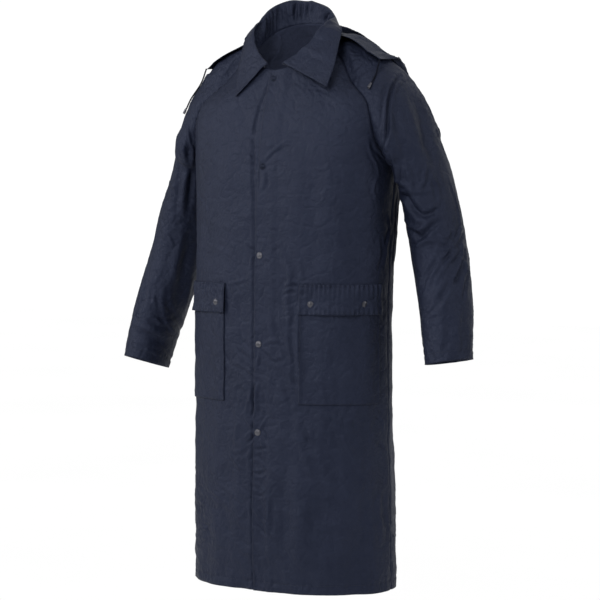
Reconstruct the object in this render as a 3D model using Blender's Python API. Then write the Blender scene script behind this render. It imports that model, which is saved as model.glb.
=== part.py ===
"""Hooded raincoat, filled out as worn with no wearer inside.

Thin coated cloth, raglan sleeves, a shirt collar, an attached hood thrown back over the shoulders,
a snapped front and two big patch pockets with flaps.

Frame: metres, +Z up. The front faces -Y and the wearer's left is +X. The origin is the middle of
the neck at the height of the side neck points, where the shoulders hold the coat up.
Every cloth piece is a wall: an outer surface worked out from the sizes below, a copy of it moved
in by the wall's thickness, and a rim that joins the two.
"""
from math import asin, cos, degrees, pi, radians, sin

import bmesh
import bpy
import numpy as np
from mathutils import Vector
from mathutils.bvhtree import BVHTree

# ---------------------------------------------------------------- driving sizes
WALL = 0.0012             # thickness of a cloth wall
SEAM_PULL = 0.00015       # each piece stops this far short of its seam line
HEM_Z = -1.145            # height of the hem
ARMPIT_Z = -0.262         # height of the underarm point
LEFT_MARKS = (-0.018, -0.009, 0.0, 0.011, 0.0235, 0.040)   # first columns of the left front
RIGHT_MARKS = (-0.022, -0.011, 0.0, 0.009, 0.018, 0.040)   # and of the right, from the middle
LAP_STEP = 0.0028         # the left front lies this far out over the right one
LOWER_ROWS = 13           # wall rows from hem to underarm
UPPER_ROWS = 9            # wall rows from underarm to neck
FRONT_COLUMNS = 9         # wall columns of a front, beyond those marks
BACK_COLUMNS = 18
SLEEVE_COLUMNS = 16
SLEEVE_ROWS = 13
RIGHT_CUFF_DROP = 0.030   # the right arm hangs straighter, so its cuff is lower
RIGHT_CUFF_OUT = 0.012    # and farther out
RIGHT_FULLER = 1.10       # and its sleeve hangs wider, front to back

# Torso rings, from the hem up. Each is the coat's outline at one height.
TORSO = (
    # height, half width, front y, side y, back y, squareness
    (-1.145, 0.230, -0.170, -0.022, 0.104, 2.30),
    (-1.020, 0.227, -0.174, -0.022, 0.100, 2.30),
    (-0.850, 0.225, -0.171, -0.024, 0.092, 2.30),
    (-0.690, 0.223, -0.167, -0.024, 0.082, 2.35),
    (-0.570, 0.222, -0.165, -0.022, 0.086, 2.40),
    (-0.440, 0.222, -0.161, -0.012, 0.090, 2.50),
    (-0.340, 0.223, -0.156, -0.002, 0.098, 2.70),
    (-0.262, 0.226, -0.149, 0.008, 0.108, 2.95),
    (-0.210, 0.230, -0.141, 0.014, 0.116, 3.10),
    (-0.160, 0.234, -0.129, 0.018, 0.120, 3.00),
    (-0.126, 0.226, -0.118, 0.018, 0.118, 2.75),
    (-0.087, 0.178, -0.106, 0.014, 0.110, 2.30),
    (-0.040, 0.129, -0.091, 0.008, 0.094, 2.10),
    (-0.015, 0.094, -0.082, 0.000, 0.078, 2.05),
    (0.041, 0.080, -0.070, -0.010, 0.036, 2.00),
)

# Raglan shoulder, from the neck (0) to the underarm (1): the line along the top of the shoulder,
# the two seams' heights and angles round the torso ring, and how deeply the sleeve arches over
# them (90 is a flat bridge, 0 a half round, -90 a closed tube).
SHOULDER = (
    # place, top x, top y, top z, front z, front deg, back z, back deg, arch deg
    (0.00, 0.088, -0.002, 0.003, -0.006, 74.0, 0.028, 126.0, 40.0),
    (0.12, 0.125, 0.003, -0.008, -0.041, 65.0, -0.012, 124.0, 34.0),
    (0.25, 0.165, 0.008, -0.024, -0.074, 59.0, -0.052, 122.0, 24.0),
    (0.40, 0.207, 0.012, -0.046, -0.110, 54.0, -0.098, 120.0, 10.0),
    (0.55, 0.240, 0.016, -0.078, -0.145, 56.0, -0.138, 117.0, -8.0),
    (0.70, 0.267, 0.022, -0.117, -0.183, 61.0, -0.180, 112.0, -26.0),
    (0.85, 0.288, 0.029, -0.165, -0.224, 71.0, -0.223, 103.0, -50.0),
    (1.00, 0.305, 0.034, -0.214, ARMPIT_Z, 90.0, ARMPIT_Z, 90.0, -90.0),
)

# Sleeve rings below the underarm: the points of each ring nearest to and farthest from the body.
SLEEVE = (
    # place, inner x, inner z, outer x, outer z, middle y, half depth
    (0.00, 0.226, ARMPIT_Z, 0.305, -0.214, 0.021, 0.082),
    (0.13, 0.237, -0.318, 0.327, -0.277, 0.033, 0.080),
    (0.25, 0.243, -0.368, 0.346, -0.335, 0.035, 0.075),
    (0.38, 0.252, -0.420, 0.361, -0.390, 0.033, 0.070),
    (0.50, 0.264, -0.469, 0.373, -0.441, 0.026, 0.067),
    (0.62, 0.279, -0.518, 0.386, -0.492, 0.014, 0.066),
    (0.75, 0.294, -0.569, 0.397, -0.545, 0.000, 0.064),
    (0.87, 0.307, -0.620, 0.405, -0.600, -0.014, 0.060),
    (1.00, 0.320, -0.671, 0.412, -0.655, -0.028, 0.057),
)

# Neckline: it rises from the front to the back, and early, over the shoulders.
NECK_FRONT_Z = -0.065
NECK_BACK_Z = 0.041
NECK_RISE = 0.60

# Soft vertical folds that open toward the hem.
SKIRT_FOLDS = (
    # angle deg, depth at the hem, spread deg
    (24.0, 0.0060, 9.0),
    (52.0, -0.0050, 10.0),
    (76.0, 0.0045, 9.0),
    (118.0, 0.0060, 11.0),
    (150.0, -0.0050, 10.0),
    (176.0, 0.0050, 9.0),
    (-32.0, 0.0045, 10.0),
    (-64.0, -0.0045, 10.0),
    (-110.0, 0.0055, 11.0),
    (-148.0, 0.0055, 10.0),
)
FOLD_START_Z = -0.62

# Collar, from the front end round the side to the middle of the back: the crest where it folds
# over, and the fall's outer edge.
COLLAR = (
    # angle deg, crest x, crest y, crest z, edge x, edge y, edge z
    (10.0, 0.020, -0.104, -0.050, 0.130, -0.116, -0.104),
    (25.0, 0.048, -0.089, -0.029, 0.131, -0.104, -0.085),
    (40.0, 0.068, -0.075, -0.007, 0.132, -0.086, -0.055),
    (60.0, 0.081, -0.058, 0.020, 0.126, -0.056, -0.011),
    (80.0, 0.087, -0.036, 0.037, 0.119, -0.032, 0.016),
    (100.0, 0.084, -0.012, 0.044, 0.104, -0.008, 0.025),
    (130.0, 0.070, 0.024, 0.053, 0.079, 0.034, 0.026),
    (155.0, 0.042, 0.046, 0.075, 0.046, 0.060, 0.038),
    (180.0, 0.000, 0.054, 0.091, 0.000, 0.070, 0.042),
)
COLLAR_HALF_COLUMNS = 16
COLLAR_FALL_ROWS = 5
COLLAR_LIFT = 0.0006      # the stand starts this far above the neckline
COLLAR_REST = 0.0040      # and the fall lies this far off the shell
COLLAR_FOLD = 0.0040      # half the width of the fold along the crest
COLLAR_FOLD_SHARE = 0.30  # but no more than this share of the stand's height
RIGHT_POINT_IN = 0.040    # the right point hangs this far nearer to the middle
RIGHT_POINT_DOWN = 0.016  # and this much lower
RIGHT_CREST_UP = 0.042    # the collar stands higher at the wearer's right, most at this angle
RIGHT_CREST_DEG = 140.0

# Hood, from its front corner on the shoulder (0) to the middle of the back (90): where it leaves
# the neck, the fold at the bottom of its pouch, and the rim of its face opening.
HOOD = (
    # angle deg, neck x, neck y, neck z, fold x, fold y, fold z, rim x, rim y, rim z
    (0.0, 0.100, -0.026, 0.006, 0.178, -0.034, -0.030, 0.211, -0.036, -0.046),
    (8.0, 0.101, -0.014, 0.009, 0.184, 0.006, -0.031, 0.214, 0.004, -0.038),
    (15.0, 0.101, -0.004, 0.012, 0.200, 0.036, -0.039, 0.214, 0.042, -0.024),
    (23.0, 0.098, 0.008, 0.015, 0.220, 0.072, -0.074, 0.204, 0.068, -0.024),
    (30.0, 0.094, 0.018, 0.017, 0.226, 0.100, -0.110, 0.172, 0.085, -0.016),
    (45.0, 0.081, 0.034, 0.022, 0.196, 0.132, -0.150, 0.130, 0.104, 0.006),
    (60.0, 0.060, 0.048, 0.028, 0.145, 0.146, -0.185, 0.088, 0.118, 0.028),
    (75.0, 0.032, 0.055, 0.033, 0.075, 0.152, -0.207, 0.045, 0.126, 0.042),
    (90.0, 0.000, 0.058, 0.035, 0.000, 0.154, -0.215, 0.000, 0.130, 0.044),
)
HOOD_HALF_COLUMNS = 13
HOOD_INNER_ROWS = 6
HOOD_OUTER_ROWS = 4
HOOD_POUCH = 0.045        # how far the pouch's outer layer stands off at the middle of the back
HOOD_DRAPE = 0.020        # how far the inner layer bows out over the shoulders and back
HOOD_ROLL = 0.004         # how round the fold is toward the shoulders
HOOD_FLAT_DEG = 12.0      # the hood lies flat up to here, and from twice this on it is folded
HOOD_REST = 0.0070        # the hood lies this far off the shoulders
HOOD_SEAM = 0.0021        # and this far off them along the neck
HOOD_SHIFT = -0.018       # the loose part lies a little to the wearer's right
HOOD_RIGHT_DOWN = 0.009   # where it sinks lower over the shoulder

# Patch pockets and flaps: from the near edge to the side, and from top to bottom.
POCKET_NEAR_DEG = 20.0
POCKET_FAR_DEG = 81.0
POCKET_TOP_Z = -0.524
POCKET_BOTTOM_Z = -0.754
FLAP_NEAR_DEG = 19.0
FLAP_FAR_DEG = 82.0
FLAP_TOP_Z = -0.508
FLAP_BOTTOM_Z = -0.570
LAYER_GAP = 0.0006        # clear space between a panel and what lies on it
FLAP_SNAP_DEGS = (26.5, 65.0)
FLAP_SNAP_Z = -0.549

# Snaps.
SNAP_RADIUS = 0.0066
SNAP_HEIGHT = 0.0024
SNAP_SEAT = 0.0003        # clear space under a cap
SNAP_TOP_Z = -0.084
SNAP_SPACING = 0.183
FRONT_SNAPS = 5
SNAP_X = -0.002

# Drawstring ends.
CORD_RADIUS = 0.0016
CORD_EXIT = (0.0, -0.0022, -0.0004)   # where a cord starts, from the hood's corner
CORD_REST = 0.0042        # a cord's middle lies this far off the sleeve
CORD_LEFT = (
    # x, y, z
    (0.2112, -0.0550, -0.0648),
    (0.2101, -0.0650, -0.0836),
    (0.2060, -0.0720, -0.0960),
)
CORD_RIGHT = (
    # x, y, z
    (-0.2262, -0.0500, -0.0788),
    (-0.2438, -0.0560, -0.1134),
    (-0.2500, -0.0600, -0.1400),
)
TIP_RADIUS = 0.0030
TIP_LENGTH = 0.0130

COLLECTION = "hooded_raincoat"


# ---------------------------------------------------------------- reading the tables
def read(table, place):
    """The columns of a table at one place, on a smooth curve through its rows."""
    rows = np.asarray(table, dtype=float)
    knots = rows[:, 0]
    values = rows[:, 1:]
    slopes = np.gradient(values, knots, axis=0)
    place = min(max(place, knots[0]), knots[-1])
    row = min(int(np.searchsorted(knots, place, side="right")) - 1, len(knots) - 2)
    step = knots[row + 1] - knots[row]
    part = (place - knots[row]) / step
    leave = slopes[row] * step * (part**3 - 2 * part**2 + part)
    arrive = slopes[row + 1] * step * (part**3 - part**2)
    blend = 3 * part**2 - 2 * part**3
    return values[row] * (1 - blend) + values[row + 1] * blend + leave + arrive


def ease(amount):
    """0 to 1 with a soft start and a soft end."""
    amount = min(max(amount, 0.0), 1.0)
    return amount * amount * (3 - 2 * amount)


def unit(vector):
    return vector / max(float(np.linalg.norm(vector)), 1e-12)


# ---------------------------------------------------------------- the coat's form
def skirt_fold(height, degree):
    """How far the skirt's soft folds push the cloth out at one place."""
    opening = max(0.0, (FOLD_START_Z - height) / (FOLD_START_Z - HEM_Z)) ** 1.3
    push = 0.0
    for fold_degree, depth, spread in SKIRT_FOLDS:
        away = (degree - fold_degree + 180.0) % 360.0 - 180.0
        push += depth * np.exp(-((away / spread) ** 2))
    return push * opening


def torso_point(height, degree, out=0.0):
    """A point of the torso ring: 0 is the middle of the front, 90 the wearer's left side."""
    half_width, front_y, side_y, back_y, squareness = read(TORSO, height)
    across = sin(radians(degree))
    along = cos(radians(degree))
    reach = (front_y if along > 0 else back_y) - side_y
    power = 2.0 / squareness
    x = np.sign(across) * half_width * abs(across) ** power
    y = side_y + reach * abs(along) ** power
    outward = unit(np.array((x / half_width**2, (y - side_y) / reach**2, 0.0)))
    return np.array((x, y, height)) + outward * (skirt_fold(height, degree) + out)


def neck_height(degree):
    rise = ((1.0 - cos(radians(degree))) / 2.0) ** NECK_RISE
    return NECK_FRONT_Z + (NECK_BACK_Z - NECK_FRONT_Z) * rise


def neck_point(degree):
    return torso_point(neck_height(degree), degree)


def middle_degree(height, distance):
    """The torso angle whose point lies this far from the middle of the front."""
    half_width, _, _, _, squareness = read(TORSO, height)
    return degrees(asin((abs(distance) / half_width) ** (squareness / 2.0))) * np.sign(distance)


def seam_row(row):
    """Place along the shoulder (1 underarm, 0 neck) of a wall row above the underarm."""
    return 1.0 - (row - LOWER_ROWS) / UPPER_ROWS


def edge_of(row, back):
    """Height and angle of a front's or the back's outer edge in one wall row."""
    if row <= LOWER_ROWS:
        return HEM_Z + (ARMPIT_Z - HEM_Z) * row / LOWER_ROWS, 90.0
    top = read(SHOULDER, seam_row(row))
    if row == LOWER_ROWS + UPPER_ROWS:
        degree = top[6] if back else top[4]
        return neck_height(degree), degree
    return (top[5], top[6]) if back else (top[3], top[4])


def row_height(row, part, back):
    """Height in one wall row: part 0 is the middle of the front or back, part 1 the outer edge."""
    edge_height, _ = edge_of(row, back)
    if row <= LOWER_ROWS:
        return edge_height
    climb = (row - LOWER_ROWS) / UPPER_ROWS
    _, neck_degree = edge_of(LOWER_ROWS + UPPER_ROWS, back)
    middle = 180.0 if back else 0.0
    middle_neck = neck_height(middle)
    neck_here = neck_height(middle + (neck_degree - middle) * part)
    scoop = (neck_here - middle_neck) / (neck_height(neck_degree) - middle_neck)
    middle_height = ARMPIT_Z + (middle_neck - ARMPIT_Z) * climb
    return middle_height + (edge_height - middle_height) * scoop


def lap_out(x):
    """How far the left front stands out over the right one."""
    full, end = LEFT_MARKS[-2:]
    return LAP_STEP * ease((end - x) / (end - full))


def front_point(height, degree, side, out=0.0):
    """A point of a front's surface, moved out from it."""
    point = torso_point(height, degree * side)
    lap = lap_out(point[0]) if side > 0 else 0.0
    return torso_point(height, degree * side, out + lap)


def front_grid(side):
    grid = []
    for row in range(LOWER_ROWS + UPPER_ROWS + 1):
        _, edge_degree = edge_of(row, back=False)
        line = []
        for mark in LEFT_MARKS if side > 0 else RIGHT_MARKS:
            degree = middle_degree(row_height(row, 0.0, back=False), mark)
            height = row_height(row, max(degree / edge_degree, 0.0), back=False)
            degree = middle_degree(height, mark)
            line.append(front_point(height, degree, side))
        for part in np.linspace(degree / edge_degree, 1.0, FRONT_COLUMNS + 1)[1:]:
            height = row_height(row, part, back=False)
            line.append(front_point(height, edge_degree * part, side))
        grid.append(line)
    return np.array(grid)


def back_grid():
    grid = []
    for row in range(LOWER_ROWS + UPPER_ROWS + 1):
        _, edge_degree = edge_of(row, back=True)
        line = []
        for column in range(BACK_COLUMNS + 1):
            across = 1.0 - 2.0 * column / BACK_COLUMNS
            degree = 180.0 - (180.0 - edge_degree) * across
            line.append(torso_point(row_height(row, abs(across), back=True), degree))
        grid.append(line)
    return np.array(grid)


# ---------------------------------------------------------------- sleeves
def shoulder_arc(place):
    """A sleeve row above the underarm: from the front seam over the shoulder to the back seam."""
    top_x, top_y, top_z, front_z, front_degree, back_z, back_degree, arch = read(SHOULDER, place)
    if place == 0.0:
        steps = np.linspace(front_degree, back_degree, SLEEVE_COLUMNS + 1)
        return [neck_point(degree) for degree in steps]
    front = torso_point(front_z, front_degree)
    back = torso_point(back_z, back_degree)
    middle = (front + back) / 2
    half = (front - back) / 2
    rise = np.array((top_x, top_y, top_z)) - middle
    start = radians(arch)
    width = half / cos(start)
    height = rise / (1.0 - sin(start))
    centre = middle - height * sin(start)
    angles = np.linspace(start, pi - start, SLEEVE_COLUMNS + 1)
    return [centre + width * cos(angle) + height * sin(angle) for angle in angles]


def sleeve_ring(place):
    """A closed sleeve ring, from the underarm line round the front, outer side and back."""
    centres = [sleeve_frame(min(max(place + step, 0.0), 1.0))[0] for step in (-0.04, 0.04)]
    axis = unit(centres[1] - centres[0])
    centre, across, depth = sleeve_frame(place)
    forward = np.array((0.0, -1.0, 0.0))
    forward = unit(forward - axis * float(np.dot(forward, axis)))
    angles = np.linspace(-pi / 2, 3 * pi / 2, SLEEVE_COLUMNS + 1)
    ring = [centre + forward * depth * cos(angle) + across * sin(angle) for angle in angles]
    ring[-1] = ring[0]
    return ring


def sleeve_frame(place):
    inner_x, inner_z, outer_x, outer_z, middle_y, depth = read(SLEEVE, place)
    armpit = torso_point(ARMPIT_Z, 90.0)
    lean = (SHOULDER[-1][2] - armpit[1]) / 2 * max(0.0, 1.0 - place / 0.25)
    centre = np.array(((inner_x + outer_x) / 2, middle_y, (inner_z + outer_z) / 2))
    across = np.array(((outer_x - inner_x) / 2, lean, (outer_z - inner_z) / 2))
    return centre, across, depth


def sleeve_grid(side):
    rows = [shoulder_arc(row / UPPER_ROWS) for row in range(UPPER_ROWS)]
    for row in range(SLEEVE_ROWS + 1):
        rows.append(sleeve_ring(row / SLEEVE_ROWS))
    grid = np.array(rows)
    armpit = torso_point(ARMPIT_Z, 90.0)
    grid[UPPER_ROWS, 0] = armpit
    grid[UPPER_ROWS, -1] = armpit
    if side < 0:
        for row in range(SLEEVE_ROWS + 1):
            down = row / SLEEVE_ROWS
            ring = grid[UPPER_ROWS + row]
            middle_y = ring[:-1, 1].mean()
            fuller = 1.0 + (RIGHT_FULLER - 1.0) * ease(down / 0.5)
            ring[:, 0] += RIGHT_CUFF_OUT * ease(down / 0.4)
            ring[:, 1] = middle_y + (ring[:, 1] - middle_y) * fuller
            ring[:, 2] -= RIGHT_CUFF_DROP * down**1.5
        grid[:, :, 0] *= -1
    return grid


# ---------------------------------------------------------------- collar and hood
def collar_column(degree, side):
    """One section of the collar: up the stand, over the crest, down the fall."""
    crest_x, crest_y, crest_z, edge_x, edge_y, edge_z = read(COLLAR, degree)
    if side < 0:
        near_crest = np.exp(-(((degree - RIGHT_CREST_DEG) / 30.0) ** 2))
        crest_z += RIGHT_CREST_UP * sin(radians(degree)) * near_crest
        near_front = ease((100.0 - degree) / 90.0)
        edge_x -= RIGHT_POINT_IN * near_front
        edge_z -= RIGHT_POINT_DOWN * near_front
    base = neck_point(degree) + np.array((0.0, 0.0, COLLAR_LIFT))
    crest = np.array((crest_x, crest_y, crest_z))
    edge = np.array((edge_x, edge_y, edge_z))
    fold = min(COLLAR_FOLD, np.linalg.norm(crest - base) * COLLAR_FOLD_SHARE)
    away = unit((edge - crest) * (1.0, 1.0, 0.0)) * fold
    drop = np.array((0.0, 0.0, fold * 0.8))
    stand_top = crest - away - drop
    fall_top = crest + away - drop
    column = [base, base * 0.5 + stand_top * 0.5, stand_top, crest]
    for row in range(COLLAR_FALL_ROWS + 1):
        column.append(fall_top + (edge - fall_top) * row / COLLAR_FALL_ROWS)
    points = np.array(column)
    points[:, 0] *= side
    return points


def collar_grid():
    left = np.linspace(COLLAR[0][0], 180.0, COLLAR_HALF_COLUMNS + 1)
    columns = [collar_column(degree, 1) for degree in left]
    columns += [collar_column(degree, -1) for degree in left[::-1][1:]]
    return np.array(columns).transpose(1, 0, 2)


def bow(start, control, end, count):
    """Points along a curve that bends toward its control point."""
    steps = np.linspace(0.0, 1.0, count + 1)
    return [start * (1 - t) ** 2 + control * 2 * t * (1 - t) + end * t * t for t in steps]


def hood_column(degree, side):
    """One section of the hood: down its inner layer to the fold, and back up to the rim."""
    values = read(HOOD, degree)
    neck, fold, rim = values[0:3], values[3:6], values[6:9]
    toward_back = ease(degree / 90.0)
    opened = ease((degree - HOOD_FLAT_DEG) / HOOD_FLAT_DEG)
    outward = unit(np.array((cos(radians(degree)), sin(radians(degree)), 0.0)))
    lift = outward * toward_back + np.array((0.0, 0.0, 1.0)) * (1.0 - toward_back)
    drape = HOOD_DRAPE if side > 0 else HOOD_DRAPE * toward_back
    middle = (neck + fold) / 2 + lift * 2 * drape
    across = unit(np.cross(fold - middle, np.cross(lift, fold - middle)))
    inner = bow(neck, middle, fold, HOOD_INNER_ROWS)
    rolled = (across + unit(fold - middle), across * 2 + unit(middle - fold) * 0.5)
    flat = ((rim - fold) * 0.2, (rim - fold) * 0.4)
    bottom, turn = (fold + a * HOOD_ROLL * opened + b * (1 - opened) for a, b in zip(rolled, flat))
    stand_off = outward * 2 * HOOD_POUCH * toward_back + across * HOOD_ROLL * opened
    outer = bow(turn, (turn + rim) / 2 + stand_off, rim, HOOD_OUTER_ROWS)
    points = np.array(inner + [bottom] + outer)
    loose = np.linspace(0.0, 1.0, len(points)) ** 0.7
    points[:, 0] = points[:, 0] * side + HOOD_SHIFT * loose * opened
    if side < 0:
        down = HOOD_RIGHT_DOWN * (1.0 - toward_back)
        points[:, 2] -= down * np.minimum(loose, loose[HOOD_INNER_ROWS])
    return points


def hood_grid():
    left = np.linspace(0.0, 90.0, HOOD_HALF_COLUMNS + 1)
    columns = [hood_column(degree, 1) for degree in left]
    columns += [hood_column(degree, -1) for degree in left[::-1][1:]]
    return np.array(columns).transpose(1, 0, 2)


# ---------------------------------------------------------------- pockets and flaps
def panel_patch(side, degrees_range, heights, out_of):
    """A patch worked out from a front's own surface, moved out by out_of(height)."""
    grid = []
    for height in heights:
        line = []
        for degree in degrees_range:
            line.append(front_point(height, degree, side, out_of(height)))
        grid.append(line)
    return np.array(grid)


def pocket_grid(side):
    around = np.linspace(POCKET_NEAR_DEG, POCKET_FAR_DEG, 10)
    heights = np.linspace(POCKET_TOP_Z, POCKET_BOTTOM_Z, 8)
    return panel_patch(side, around, heights, lambda height: LAYER_GAP + WALL)


def flap_out(height):
    """The flap is sewn down along its top and then lies over the pocket."""
    over_pocket = ease((FLAP_TOP_Z - height) / (FLAP_TOP_Z - POCKET_TOP_Z))
    return LAYER_GAP + WALL + (LAYER_GAP + WALL) * over_pocket


def flap_grid(side):
    around = np.linspace(FLAP_NEAR_DEG, FLAP_FAR_DEG, 10)
    heights = [FLAP_TOP_Z, (FLAP_TOP_Z + POCKET_TOP_Z) / 2, POCKET_TOP_Z]
    heights += list(np.linspace(POCKET_TOP_Z, FLAP_BOTTOM_Z, 4)[1:])
    return panel_patch(side, around, heights, flap_out)


# ---------------------------------------------------------------- walls
def grid_normals(grid, closed_rows):
    """Unit normals of a grid; in closed rows the first and last columns are one point."""
    along = np.gradient(grid, axis=0)
    across = np.gradient(grid, axis=1)
    for row in closed_rows:
        wrap = grid[row, 1] - grid[row, -2]
        across[row, 0] = wrap
        across[row, -1] = wrap
    normals = np.cross(along, across)
    lengths = np.linalg.norm(normals, axis=2, keepdims=True)
    return normals / np.maximum(lengths, 1e-12)


def outer_quads(panel):
    """The corners of the panel's faces, turned so that they face out."""
    rows, columns = panel.grid.shape[:2]
    quads = []
    for row in range(rows - 1):
        for column in range(columns - 1):
            first = row * columns + column
            corners = [first, first + 1, first + columns + 1, first + columns]
            quads.append(corners if panel.flip else corners[::-1])
    return quads


def surface_tree(panels):
    """A search tree of the outer surface of several panels."""
    points = []
    quads = []
    for panel in panels:
        first = len(points)
        points += [Vector(point) for point in panel.grid.reshape(-1, 3)]
        quads += [[first + corner for corner in corners] for corners in outer_quads(panel)]
    return BVHTree.FromPolygons(points, quads)


def lay_over(points, tree, clear, seated=False):
    """The points, moved out until they lie this far off the surface under them."""
    moved = np.array(points, dtype=float)
    for number, point in enumerate(moved):
        near, normal, _, _ = tree.find_nearest(Vector(point))
        if seated or (Vector(point) - near).dot(normal) < clear:
            moved[number] = near + normal * clear
    return moved


def draped_hood(tree):
    """The hood's grid, lying on the shell."""
    hood = hood_grid()
    for row in range(1, len(hood)):
        hood[row] = lay_over(hood[row], tree, HOOD_REST)
    hood[0] = lay_over(hood[0], tree, HOOD_SEAM, seated=True)
    return hood


def key_of(point):
    return tuple(int(round(value * 1e6)) for value in point)


class Panel:
    """One cloth piece before it has a thickness."""

    def __init__(self, name, group, grid, flip=False, closed_from=None):
        self.name = name
        self.group = group
        self.grid = grid
        rows = range(closed_from, len(grid)) if closed_from is not None else ()
        self.closed_rows = list(rows)
        self.normals = grid_normals(grid, self.closed_rows) * (-1.0 if flip else 1.0)
        self.flip = flip


def share_seams(panels):
    """Give panels that meet one common normal at each seam point, and pull their edges apart."""
    shared = {}
    for panel in panels:
        for row in range(panel.grid.shape[0]):
            for column in range(panel.grid.shape[1]):
                entry = shared.setdefault(key_of(panel.grid[row, column]), {})
                normal = panel.normals[row, column].copy()
                entry.setdefault(panel.group, []).append((panel.name, normal))
    moved = {}
    for panel in panels:
        points = panel.grid.copy()
        rows, columns = points.shape[:2]
        for row in range(rows):
            for column in range(columns):
                entry = shared[key_of(panel.grid[row, column])]
                groups = [unit(sum(normal for _, normal in members)) for members in entry.values()]
                own_normal = panel.normals[row, column].copy()
                panel.normals[row, column] = unit(sum(groups))
                names = {name for members in entry.values() for name, _ in members}
                if len(names) < 2:
                    continue
                inward = seam_direction(panel, row, column, own_normal)
                points[row, column] = panel.grid[row, column] + inward * SEAM_PULL
        moved[panel.name] = points
    for panel in panels:
        panel.grid = moved[panel.name]


def seam_direction(panel, row, column, normal):
    """The direction in the cloth that leads straight away from the seam into the piece."""
    grid = panel.grid
    rows, columns = grid.shape[:2]
    here = grid[row, column]
    if panel.closed_rows and row == panel.closed_rows[0]:
        inside = grid[row + 1].mean(axis=0) - grid[row].mean(axis=0)
        return unit(inside - normal * float(np.dot(inside, normal)))
    next_column = column + (1 if column == 0 else -1)
    inside = grid[row, next_column] - here
    low = max(row - 1, 0)
    high = min(row + 1, rows - 1)
    seam = unit(grid[high, column] - grid[low, column])
    inside = inside - normal * float(np.dot(inside, normal))
    seam = unit(seam - normal * float(np.dot(seam, normal)))
    return unit(inside - seam * float(np.dot(inside, seam)))


def wall_object(panel, material, collection, thickness=WALL):
    """A closed wall: the panel's surface, the same surface moved in, and the rim between."""
    outer = bmesh.new()
    rows, columns = panel.grid.shape[:2]
    verts = [outer.verts.new(point) for point in panel.grid.reshape(-1, 3)]
    normals = panel.normals.reshape(-1, 3)
    index = {vert: number for number, vert in enumerate(verts)}
    same = {}
    for row in panel.closed_rows:
        same[verts[row * columns + columns - 1]] = verts[row * columns]

    quads = []
    for corners in outer_quads(panel):
        quads.append(list(dict.fromkeys(same.get(verts[corner], verts[corner]) for corner in corners)))
    for corners in quads:
        outer.faces.new(corners)
    inner = {}
    for vert in verts:
        if vert not in same:
            shift = Vector(normals[index[vert]]) * thickness
            inner[vert] = outer.verts.new(vert.co - shift)
    borders = [edge for edge in outer.edges if len(edge.link_faces) == 1]
    rims = []
    for edge in borders:
        loop = edge.link_loops[0]
        first = loop.vert
        second = loop.link_loop_next.vert
        rims.append((second, first, inner[first], inner[second]))
    for corners in quads:
        outer.faces.new([inner[vert] for vert in reversed(corners)])
    for corners in rims:
        outer.faces.new(corners)
    for vert in same:
        outer.verts.remove(vert)
    bmesh.ops.triangulate(outer, faces=outer.faces[:])
    return mesh_object(panel.name, outer, material, collection)


def mesh_object(name, shape, material, collection):
    mesh = bpy.data.meshes.new(name)
    shape.to_mesh(mesh)
    shape.free()
    mesh.shade_smooth()
    mesh.set_sharp_from_angle(angle=radians(50))
    mesh.materials.append(material)
    made = bpy.data.objects.new(name, mesh)
    collection.objects.link(made)
    return made


# ---------------------------------------------------------------- snaps and drawstring
def add_snap(name, point, normal, material, collection):
    """A snap cap: a low disc with a rounded top, standing on the cloth."""
    shape = bmesh.new()
    made = bmesh.ops.create_cone(
        shape, cap_ends=True, segments=14, radius1=SNAP_RADIUS, radius2=SNAP_RADIUS * 0.62,
        depth=SNAP_HEIGHT)
    bmesh.ops.translate(shape, verts=made["verts"], vec=(0, 0, SNAP_HEIGHT / 2))
    turn = Vector((0, 0, 1)).rotation_difference(Vector(normal))
    cap = mesh_object(name, shape, material, collection)
    cap.rotation_mode = "QUATERNION"
    cap.rotation_quaternion = turn
    cap.location = Vector(point + normal * SNAP_SEAT)
    return cap


def surface_frame(height, degree, side, out):
    """A point on a front, moved out, and the front's normal there."""
    point = front_point(height, degree, side, out)
    above = front_point(height + SNAP_RADIUS, degree, side, out)
    beside = front_point(height, degree + 1.0, side, out)
    return point, unit(np.cross((beside - point) * side, above - point))


def add_cord(name, route, material, collection):
    """A round cord along a smooth curve through the route's points."""
    rows = np.array(route)
    places = np.linspace(0.0, 1.0, len(rows))
    table = np.column_stack((places, rows))
    curve = bpy.data.curves.new(name, "CURVE")
    curve.dimensions = "3D"
    curve.bevel_depth = CORD_RADIUS
    curve.bevel_resolution = 2
    curve.use_fill_caps = True
    steps = 4 * (len(rows) - 1)
    spline = curve.splines.new("POLY")
    spline.points.add(steps)
    for number in range(steps + 1):
        spline.points[number].co = (*read(table, number / steps), 1.0)
    curve.materials.append(material)
    made = bpy.data.objects.new(name, curve)
    collection.objects.link(made)
    return made


def add_cord_end(name, route, material, collection):
    """The short tip that closes a drawstring end."""
    rows = np.array(route)
    along = unit(rows[-1] - rows[-2])
    shape = bmesh.new()
    bmesh.ops.create_cone(
        shape, cap_ends=True, segments=12, radius1=TIP_RADIUS * 0.8, radius2=TIP_RADIUS,
        depth=TIP_LENGTH)
    tip = mesh_object(name, shape, material, collection)
    tip.rotation_mode = "QUATERNION"
    tip.rotation_quaternion = Vector((0, 0, 1)).rotation_difference(Vector(along))
    tip.location = Vector(rows[-1] + along * (TIP_LENGTH / 2 + 2 * SEAM_PULL))
    return tip


# ---------------------------------------------------------------- scene
def make_material(name, colour, roughness, metallic):
    material = bpy.data.materials.new(name)
    material.use_nodes = True
    shader = material.node_tree.nodes["Principled BSDF"]
    shader.inputs["Base Color"].default_value = (*colour, 1.0)
    shader.inputs["Roughness"].default_value = roughness
    shader.inputs["Metallic"].default_value = metallic
    material.diffuse_color = (*colour, 1.0)
    return material


def clear_scene():
    for old in list(bpy.data.objects):
        bpy.data.objects.remove(old, do_unlink=True)


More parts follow.
